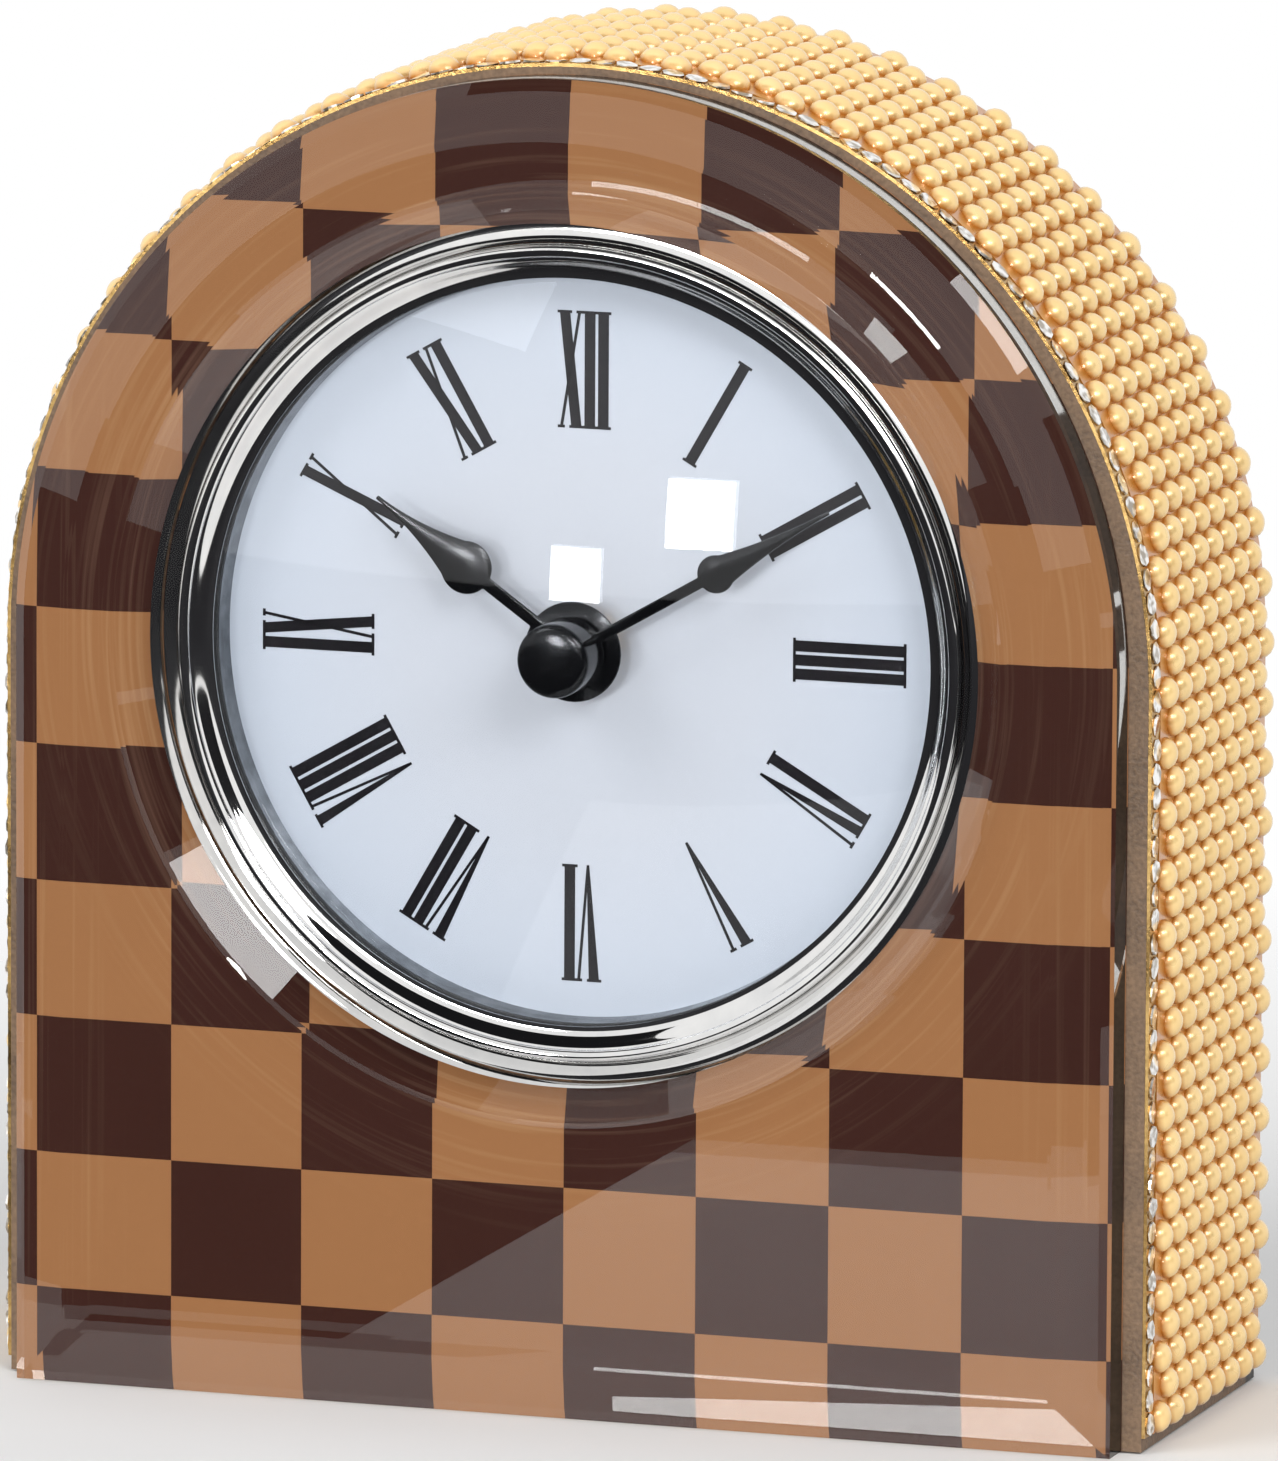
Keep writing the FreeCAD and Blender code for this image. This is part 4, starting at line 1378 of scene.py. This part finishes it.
@dataclass
class Insert:
    """The round insert's bezel, lens and reveal. Sizes in millimetres."""

    seat: float = 37.9
    outer: float = 41.25
    flange: float = 42.95
    case_front: float = -16.3
    crown: float = -19.0
    lens_seat: float = 37.85
    lens_edge: float = -17.3
    lens_rise: float = 7.6
    lens_thickness: float = 1.0
    reveal_front: float = -15.8
    flange_steps: tuple[float, ...] = (0.2, 0.3)
    flange_rises: tuple[float, ...] = (0.45, 0.6, 0.5)
    foot_rise: float = 0.7
    half_width: float = 0.95
    crest_width: float = 0.75
    crest_fall: float = 0.4
    hollow_width: float = 1.75
    hollow_fall: float = 0.95
    hollow_power: float = 1.4
    lip: float = 37.4
    lip_front: float = -17.62
    lip_back: float = -17.5
    reveal_radii: tuple[float, ...] = (37.0, 37.02, 37.3, 37.42)
    reveal_rises: tuple[float, ...] = (0.25, 1.2)

    def bezel(self, materials: Materials) -> None:
        """Turn the bright bezel with its rounded crown and hollow inner slope.

        Args:
            materials: the clock's finishes.
        """
        front = self.case_front
        low, high, inner = self.flange_rises
        ease, gap = self.flange_steps
        profile: Profile = [(self.seat, front), (self.flange, front), (self.flange, front - low),
                            (self.flange - ease, front - high), (self.outer + gap, front - inner),
                            (self.outer, front - self.foot_rise)]
        fall = abs(self.crown - front) - self.foot_rise
        crest = self.outer - self.half_width
        for i in range(1, 17):
            turn = math.pi / 2 * i / 16
            profile.append((self.outer - self.half_width * (1 - math.cos(turn)),
                            front - self.foot_rise - fall * math.sin(turn)))
        for i in range(1, 11):
            turn = math.pi / 2 * i / 10
            profile.append((crest - self.crest_width * math.sin(turn),
                            self.crown + self.crest_fall * (1 - math.cos(turn))))
        for i in range(1, 13):
            share = i / 12
            dip = self.hollow_fall * math.sin(share * math.pi / 2) ** self.hollow_power
            profile.append((crest - self.crest_width - self.hollow_width * share,
                            self.crown + self.crest_fall + dip))
        profile += [(self.lip, self.lip_front), (self.lip, self.lip_back), (self.seat, self.lip_back),
                    (self.seat, front)]
        piece = turned("bezel", profile, AXIS_HEIGHT, 256, 40.0)
        materials.finish(piece, "case", "bezel_chrome", "bezel_ring")

    def lens(self, materials: Materials) -> None:
        """Turn the domed lens with even thickness.

        Args:
            materials: the clock's finishes.
        """
        sphere = (self.lens_seat ** 2 + self.lens_rise ** 2) / (2.0 * self.lens_rise)
        apex = self.lens_edge - self.lens_rise
        radii = [self.lens_seat * i / 32 for i in range(33)]
        outer = [(r, apex + sphere - math.sqrt(sphere * sphere - r * r)) for r in radii]
        inner = [(r, y + self.lens_thickness) for r, y in outer]
        piece = turned("lens_dome", outer + inner[::-1], AXIS_HEIGHT, 192, 60.0)
        materials.finish(piece, "case", "lens_glass", "lens")

    def reveal(self, materials: Materials) -> None:
        """Turn the bright sloping ring between lens and dial.

        Args:
            materials: the clock's finishes.
        """
        foot, low, high, top = self.reveal_radii
        step, rise = self.reveal_rises
        profile: Profile = [(self.lens_seat, self.reveal_front), (self.lens_seat, DIAL_FRONT),
                            (foot, DIAL_FRONT), (low, DIAL_FRONT - step), (high, DIAL_FRONT - rise),
                            (top, self.reveal_front), (self.lens_seat, self.reveal_front)]
        piece = turned("reveal", profile, AXIS_HEIGHT, 192)
        materials.finish(piece, "case", "reveal_metal", "reveal_ring")

    def build(self, materials: Materials) -> None:
        """Build every piece of the insert.

        Args:
            materials: the clock's finishes.
        """
        self.bezel(materials)
        self.lens(materials)
        self.reveal(materials)


class Letter(Enum):
    """The letters of Roman numerals.

    Each has its width and its strokes: the foot's and the top's span, and their heights as shares.
    """

    I = (1.4, (((-0.55, 0.55), (-0.55, 0.55), 0.0, 1.0), ((-0.8, 0.8), (-0.8, 0.8), 0.0, 0.024),
               ((-0.8, 0.8), (-0.8, 0.8), 0.976, 1.0)))
    V = (2.5, (((-0.06, 0.2), (-1.15, -0.08), 0.0, 1.0), ((-0.06, 0.2), (0.84, 1.14), 0.0, 1.0),
               ((-1.38, 0.12), (-1.38, 0.12), 0.976, 1.0), ((0.62, 1.34), (0.62, 1.34), 0.976, 1.0)))
    X = (2.6, (((0.1, 1.16), (-1.16, -0.1), 0.0, 1.0), ((-1.1, -0.8), (0.78, 1.08), 0.0, 1.0),
               ((-1.38, 0.12), (-1.38, 0.12), 0.976, 1.0), ((0.58, 1.3), (0.58, 1.3), 0.976, 1.0),
               ((-0.12, 1.38), (-0.12, 1.38), 0.0, 0.024), ((-1.32, -0.58), (-1.32, -0.58), 0.0, 0.024)))


@dataclass
class Numerals:
    """Twelve printed numerals with their feet towards the dial's centre. Sizes in millimetres."""

    foot_radius: float = 21.8
    height: float = 11.7
    ink: float = 0.04
    words: tuple[str, ...] = ("I", "II", "III", "IV", "V", "VI", "VII", "VIII", "IX", "X", "XI", "XII")

    @staticmethod
    def stroke(foot: tuple[float, float], top: tuple[float, float],
               low: float, high: float) -> bpy.types.Object:
        """Draw one stroke upright at the origin: a plane whose top edge is moved and resized.

        Args:
            foot, top: its left and right ends below and above.
            low, high: the heights of its two ends.
        Returns:
            The stroke.
        """
        deselect_all()
        bpy.ops.mesh.primitive_plane_add(size=1.0, rotation=(math.pi / 2, 0.0, 0.0))
        bpy.ops.object.transform_apply(rotation=True)
        piece = bpy.context.active_object
        start_edit()
        width = foot[1] - foot[0]
        bpy.ops.transform.resize(value=(width * MM, 1.0, (high - low) * MM))
        bpy.ops.transform.translate(value=((foot[0] + foot[1]) / 2 * MM, 0.0, (low + high) / 2 * MM))
        mesh = bmesh.from_edit_mesh(piece.data)
        middle = (low + high) / 2 * MM
        for vertex in mesh.verts:
            vertex.select_set(vertex.co.z > middle)
        mesh.select_flush(False)
        bmesh.update_edit_mesh(piece.data)
        shift = (top[0] + top[1] - foot[0] - foot[1]) / 2
        bpy.ops.transform.resize(value=((top[1] - top[0]) / width, 1.0, 1.0))
        bpy.ops.transform.translate(value=(shift * MM, 0.0, 0.0))
        end_edit()
        return piece

    def letter(self, kind: Letter) -> bpy.types.Object:
        """Model one letter once, upright at the origin.

        Args:
            kind: which letter.
        Returns:
            The letter with its ink's thickness.
        """
        strokes = [self.stroke(foot, top, low * self.height, high * self.height)
                   for foot, top, low, high in kind.value[1]]
        piece = join(strokes)
        start_edit()
        push(self.ink)
        close_up()
        return piece

    def build(self, materials: Materials) -> None:
        """Copy the letters round the dial and dress them.

        Args:
            materials: the clock's finishes.
        """
        masters = {kind.name: self.letter(kind) for kind in Letter}
        copies = []
        centre = Matrix.Translation(Vector((0.0, DIAL_FRONT - self.ink, AXIS_HEIGHT)) * MM)
        for hour, word in enumerate(self.words, start=1):
            turn = Matrix.Rotation(math.radians(30.0 * hour), 4, "Y")
            across = -sum(Letter[sign].value[0] for sign in word) / 2
            for sign in word:
                width = Letter[sign].value[0]
                spot = Matrix.Translation(Vector((across + width / 2, 0.0, self.foot_radius)) * MM)
                copies.append(copied(masters[sign], centre @ turn @ spot))
                across += width
        for master in masters.values():
            bpy.data.objects.remove(master)
        piece = settle(join(copies), "numerals")
        materials.dress(piece, materials.ink)
        place_piece(piece, "case", "dial_card")


@dataclass(frozen=True)
class Blade:
    """One hand: hub, stem, round bulb and drawn-out point. Sizes in millimetres, angles in degrees."""

    name: str
    node: str
    body: str
    angle: float
    front: float
    hub: float
    stem: float
    bulb: float
    bulb_centre: float
    tip: float
    bulb_sweep: float = 128.0
    point_half: float = 0.2
    point_power: float = 1.9
    thickness: float = 0.4
    edge: float = 0.12

    @staticmethod
    def arc(radius: float, middle: float, start: float, end: float, steps: int) -> Profile:
        """Step along an arc about a place on the hand's middle line.

        Args:
            radius: the arc's radius.
            middle: how far its centre is from the axis.
            start, end: its angles from the hand's direction.
            steps: how many steps it has.
        Returns:
            Its points.
        """
        turns = [start + t * (end - start) / steps for t in range(steps + 1)]
        return [(radius * math.sin(turn), middle + radius * math.cos(turn)) for turn in turns]

    def side(self) -> Profile:
        """Draw one side of a hand that points up, from the hub's far end to the tip.

        Returns:
            Places across and up from the axis.
        """
        at_hub, at_bulb = math.asin(self.stem / 2 / self.hub), math.asin(self.stem / 2 / self.bulb)
        points = self.arc(self.hub, 0.0, math.pi, at_hub, 20)
        points += self.arc(self.bulb, self.bulb_centre, math.pi - at_bulb,
                           math.pi - math.radians(self.bulb_sweep), 18)
        wide, shoulder = points[-1]
        for i in range(1, 13):
            share = i / 12
            narrow = self.point_half + (wide - self.point_half) * (1.0 - share) ** self.point_power
            points.append((narrow, shoulder + (self.tip - shoulder) * share))
        return points

    def build(self, materials: Materials) -> None:
        """Cut the hand at its angle and dress it.

        Args:
            materials: the clock's finishes.
        """
        side = self.side()
        points = side + [(-x, z) for x, z in side[::-1] if abs(x) > 1e-6]
        turn = math.radians(self.angle)
        spots = [(x * math.cos(turn) + z * math.sin(turn),
                  AXIS_HEIGHT - x * math.sin(turn) + z * math.cos(turn)) for x, z in points]
        piece = plate(self.name, spots, self.front, self.thickness, self.edge, 40.0)
        materials.finish(piece, self.body, "hand_black", self.node)


@dataclass
class Hands:
    """The two hands, the collar behind the minute hand and the cap. Sizes in millimetres."""

    cap_radius: float = 3.7
    cap_front: float = -23.2
    cap_round: float = 0.8
    cap_crown: tuple[tuple[float, float], ...] = ((0.0, 0.0), (1.6, 0.03), (2.6, 0.12))
    cap_shoulder: float = 0.17
    socket_radius: float = 0.9
    socket_depth: float = 1.7
    minute_front: float = -17.9
    collar_radius: float = 3.3
    collar_edge: float = 0.05
    collar_back: float = -16.9
    post_radius: float = 0.95

    def collar(self, materials: Materials) -> None:
        """Turn the collar that seats the minute hand.

        Args:
            materials: the clock's finishes.
        """
        front, edge = self.minute_front + self.minute.thickness, self.collar_edge
        profile: Profile = [(self.post_radius, front), (self.collar_radius, front),
                            (self.collar_radius, self.collar_back - edge),
                            (self.collar_radius - edge, self.collar_back),
                            (self.post_radius, self.collar_back), (self.post_radius, front)]
        piece = turned("minute_collar", profile, AXIS_HEIGHT, 64)
        materials.finish(piece, "minute", "hand_black", "minute_hand")

    def cap(self, materials: Materials) -> None:
        """Turn the domed cap over the minute hand's hub.

        Args:
            materials: the clock's finishes.
        """
        profile: Profile = [(radius, self.cap_front + fall) for radius, fall in self.cap_crown]
        for i in range(1, 9):
            turn = math.pi / 2 * i / 8
            profile.append((self.cap_radius - self.cap_round * (1 - math.sin(turn)),
                            self.cap_front + self.cap_shoulder + self.cap_round * (1 - math.cos(turn))))
        floor = self.cap_front + self.socket_depth
        profile += [(self.cap_radius, self.minute_front), (self.socket_radius, self.minute_front),
                    (self.socket_radius, floor), (0.0, floor)]
        piece = turned("cap", profile, AXIS_HEIGHT, 96, 40.0)
        materials.finish(piece, "minute", "hand_black", "hand_cap")

    @property
    def hour(self) -> Blade:
        """The hour hand, a little past ten."""
        return Blade("hour_blade", "hour_hand", "hour", angle=-55.0, front=-16.5, hub=5.0, stem=1.25,
                     bulb=2.65, bulb_centre=13.6, tip=25.0)

    @property
    def minute(self) -> Blade:
        """The minute hand, at ten minutes past."""
        return Blade("minute_blade", "minute_hand", "minute", angle=60.0, front=self.minute_front,
                     hub=self.cap_radius, stem=1.1, bulb=1.9, bulb_centre=17.6, tip=31.0)

    def build(self, materials: Materials) -> None:
        """Build both hands, the collar and the cap.

        Args:
            materials: the clock's finishes.
        """
        self.hour.build(materials)
        self.minute.build(materials)
        self.collar(materials)
        self.cap(materials)


@dataclass
class BackHardware:
    """The panel's screws and the mouldings of the movement's cover. Sizes in millimetres."""

    case_back: float = 22.5
    head_radius: float = 2.6
    head_height: float = 1.4
    shank_radius: float = 1.4
    length: float = 9.0
    recess: tuple[float, float] = (3.0, 0.55)
    recess_depth: float = 1.7
    places: tuple[tuple[float, float], ...] = (
        (-43.85, 15.5), (43.85, 15.5), (33.835, 109.135), (-33.835, 109.135))
    head_ease: float = 0.12
    head_round: float = 0.4
    head_edge: float = 0.3
    head_lip: float = 0.1
    first_turn: float = 25.0
    next_turn: float = 40.0
    cover_back: float = 3.0
    knob_place: tuple[float, float] = (16.392, 92.892)
    ring_radius: float = 7.0
    ring_width: float = 0.8
    ring_ease: float = 0.12
    ring_rise: float = 0.35
    ribs: int = 6
    rib_across: float = -14.0
    rib_foot: float = 80.0
    rib_pitch: float = 3.0
    rib_size: tuple[float, float, float] = (15.0, 0.3, 0.9)
    rib_edge: float = 0.12

    def one_screw(self) -> bpy.types.Object:
        """Model one screw with an eased head and a cross recess.

        Returns:
            The screw, on the depth axis at the origin.
        """
        back, head = self.case_back, self.case_back - self.head_height
        screw = turned("screw", [
            (0.0, back - self.length), (self.shank_radius, back - self.length), (self.shank_radius, head),
            (self.head_radius, head), (self.head_radius, back - self.head_edge),
            (self.head_radius - self.head_ease, back - self.head_lip),
            (self.head_radius - self.head_round, back), (0.0, back)], 0.0, 40)
        for wide, high in (self.recess, self.recess[::-1]):
            cut_away(screw, block((0.0, back, 0.0), (wide, self.recess_depth, high)))
        return screw

    def ring(self) -> bpy.types.Object:
        """Turn the raised ring round the setting knob.

        Returns:
            The ring.
        """
        inner, outer = self.ring_radius, self.ring_radius + self.ring_width
        low, high = self.cover_back, self.cover_back + self.ring_rise
        profile: Profile = [(inner, low), (outer, low), (outer - self.ring_ease, high),
                            (inner + self.ring_ease, high), (inner, low)]
        return turned("ring", profile, self.knob_place[1], 72, across=self.knob_place[0])

    def rib(self, height: float) -> bpy.types.Object:
        """Raise one eased rib on the cover.

        Args:
            height: its height above the foot.
        Returns:
            The rib.
        """
        wide, rise, high = self.rib_size
        rib = block((self.rib_across, self.cover_back + rise / 2, height), (wide, rise, high))
        apply_modifier(rib, "BEVEL", width=self.rib_edge * MM, segments=2)
        return rib

    def build(self, materials: Materials) -> None:
        """Set the four screws and add the cover's mouldings.

        Args:
            materials: the clock's finishes.
        """
        master = self.one_screw()
        screws = []
        for i, (across, up) in enumerate(self.places):
            turn = Matrix.Rotation(math.radians(self.first_turn + self.next_turn * i), 4, "Y")
            screws.append(copied(master, Matrix.Translation(Vector((across, 0.0, up)) * MM) @ turn))
        bpy.data.objects.remove(master)
        piece = settle(join(screws), "cross_screws")
        materials.finish(piece, "case", "screw_steel", "back_screws")
        ribs = [self.rib(self.rib_foot + self.rib_pitch * i) for i in range(self.ribs)]
        raised = settle(join([self.ring()] + ribs), "cover_mouldings")
        materials.finish(raised, "case", "movement_plastic")


def stand(name: str, data: bpy.types.ID, place: Matrix) -> bpy.types.Object:
    """Put a camera or lamp into the scene.

    Args:
        name: its name.
        data: the camera's or lamp's settings.
        place: where it stands and how it is turned.
    Returns:
        The object.
    """
    item = bpy.data.objects.new(name, data)
    bpy.context.scene.collection.objects.link(item)
    item.matrix_world = place
    return item


@dataclass(frozen=True)
class Lamp:
    """A soft white lamp that faces the clock. Sizes in metres, power in watts."""

    name: str
    place: tuple[float, float, float]
    size: tuple[float, float]
    power: float
    mirrored: bool = True
    aim: float = 0.07

    def hang(self) -> None:
        """Hang the lamp. Glass and metal reflect it only if it is mirrored."""
        data = bpy.data.lights.new(self.name, "AREA")
        data.shape = "RECTANGLE"
        data.size, data.size_y = self.size
        data.energy = self.power
        spot = Vector(self.place)
        facing = (spot - UP * self.aim).to_track_quat("Z", "Y")
        lamp = stand(self.name, data, Matrix.Translation(spot) @ facing.to_matrix().to_4x4())
        lamp.visible_glossy = self.mirrored


@dataclass(frozen=True)
class Card:
    """A dark card that only glass and metal reflect. Sizes in metres, angles in degrees."""

    name: str
    place: tuple[float, float, float]
    size: tuple[float, float]
    tilt: float = 0.0
    lean: float = 0.0
    grey: tuple[float, float, float, float] = (0.02, 0.02, 0.022, 1.0)

    def hold(self) -> None:
        """Hold the card in its place, turned about the line across and about the depth line."""
        deselect_all()
        turn = (math.radians(self.tilt), math.radians(self.lean), 0.0)
        bpy.ops.mesh.primitive_plane_add(size=1.0, location=self.place, rotation=turn)
        card = bpy.context.active_object
        card.scale = (*self.size, 1.0)
        card.name = self.name
        sheet = Sheet(self.name)
        sheet.set(Base_Color=self.grey, Roughness=0.9, Specular_IOR_Level=0.0)
        card.data.materials.append(sheet.material)
        card.visible_camera = card.visible_diffuse = card.visible_shadow = False


LAMPS = (
    Lamp("key", (-0.9, -1.1, 1.2), (0.8, 0.8), 8.5, mirrored=False),
    Lamp("side", (1.25, -0.75, 0.85), (0.35, 0.35), 3.0),
    Lamp("left_window", (-0.337, -1.279, 0.109), (0.146, 0.146), 2.4),
    Lamp("right_window", (0.007, -1.307, 0.293), (0.192, 0.192), 4.2),
    Lamp("bevel_window", (0.7, -0.93, 0.755), (0.46, 0.46), 6.5),
)
CARDS = (
    Card("low_card", (-0.3, -2.0, 0.002), (4.0, 3.7)),
    Card("high_card", (0.0, -1.3, 1.9), (3.0, 0.9), tilt=35.0),
    Card("near_card", (-1.03, -0.11, 0.002), (2.0, 0.13)),
    Card("right_card", (1.1, -0.7, 0.37), (0.6, 1.5), lean=90.0),
)


@dataclass
class Studio:
    """Camera, lamps, floor and bright surroundings. Sizes in metres, angles in degrees."""

    camera_place: tuple[float, float, float] = (0.543, -1.61485, 0.35469)
    yaw: float = 18.541
    pitch: float = 9.617
    roll: float = 0.29
    focal: float = 427.0
    ambient: float = 0.5
    floor_radius: float = 1.2
    floor_drop: float = 0.0002
    floor_grey: tuple[float, float, float, float] = (0.88, 0.88, 0.88, 1.0)
    fade_from: float = 0.09
    fade_to: float = 0.3

    def camera(self) -> None:
        """Place the camera at the photograph's angle."""
        yaw, pitch, roll = (math.radians(a) for a in (self.yaw, self.pitch, self.roll))
        level = Vector((math.sin(yaw), -math.cos(yaw), 0.0))
        towards = level * math.cos(pitch) + UP * math.sin(pitch)
        right = Vector((math.cos(yaw), math.sin(yaw), 0.0))
        up = UP * math.cos(pitch) - level * math.sin(pitch)
        across = right * math.cos(roll) + up * math.sin(roll)
        upward = up * math.cos(roll) - right * math.sin(roll)
        data = bpy.data.cameras.new("photo_camera")
        data.lens = self.focal
        facing = Matrix((across, upward, towards)).transposed().to_4x4()
        bpy.context.scene.camera = stand("photo_camera", data, Matrix.Translation(self.camera_place) @ facing)

    def world(self) -> None:
        """Bright white surroundings for what the camera, metal and glass see, softer as a lamp."""
        world = bpy.data.worlds.new("studio")
        bpy.context.scene.world = world
        world.use_nodes = True
        nodes = Nodes(world.node_tree)
        back = world.node_tree.nodes["Background"]
        path = nodes.add("ShaderNodeLightPath").outputs
        mirrored = nodes.math("MAXIMUM", path["Is Glossy Ray"], path["Is Transmission Ray"])
        seen = nodes.math("MAXIMUM", path["Is Camera Ray"], mirrored)
        back.inputs["Color"].default_value = linear(WHITE)
        nodes.feed(back.inputs["Strength"], nodes.between(seen, 0.0, 1.0, self.ambient, 1.0))

    def floor(self) -> None:
        """Lay the pale floor, which fades into the white surroundings."""
        deselect_all()
        bpy.ops.mesh.primitive_circle_add(vertices=96, radius=self.floor_radius, fill_type="NGON",
                                          location=(0.0, 0.0, -self.floor_drop))
        floor = bpy.context.active_object
        floor.name = "floor"
        sheet = Sheet("pale_floor")
        sheet.set(Base_Color=self.floor_grey, Roughness=0.8, Specular_IOR_Level=0.1)
        reach = sheet.nodes.add("ShaderNodeVectorMath", operation="LENGTH")
        sheet.nodes.feed(reach.inputs[0], sheet.place)
        fading = sheet.nodes.between(reach.outputs["Value"], self.fade_from, self.fade_to, 0.0, 1.0)
        sheet.clear_where(fading, WHITE)
        floor.data.materials.append(sheet.material)

    def build(self) -> None:
        """Set up the whole studio."""
        self.camera()
        self.world()
        for lamp in LAMPS:
            lamp.hang()
        for card in CARDS:
            card.hold()
        self.floor()


def dress_nodes(frame: dict, materials: Materials) -> None:
    """Give every carried-over CAD node its finish.

    Args:
        materials: the clock's finishes.
    """
    slots = {part["node"]: part["material_slot"] for part in frame["record"]["subparts"]}
    for name, piece in frame["nodes"].items():
        materials.dress_node(piece, slots[name])
        log.info("%s keeps its solid, finish %s", name, slots[name])


def main() -> None:
    """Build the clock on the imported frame."""
    logging.basicConfig(level=logging.INFO, format="%(message)s")
    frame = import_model()
    bpy.context.scene.view_settings.view_transform = "Standard"
    Studio().build()
    materials = Materials(Effects(grain_group(), reflection_arc_group()))
    dress_nodes(frame, materials)
    GlassFront().build(materials)
    PearlWall().build(materials)
    StoneTrim().build(materials)
    Insert().build(materials)
    Numerals().build(materials)
    Hands().build(materials)
    BackHardware().build(materials)


if __name__ == "__main__":
    main()
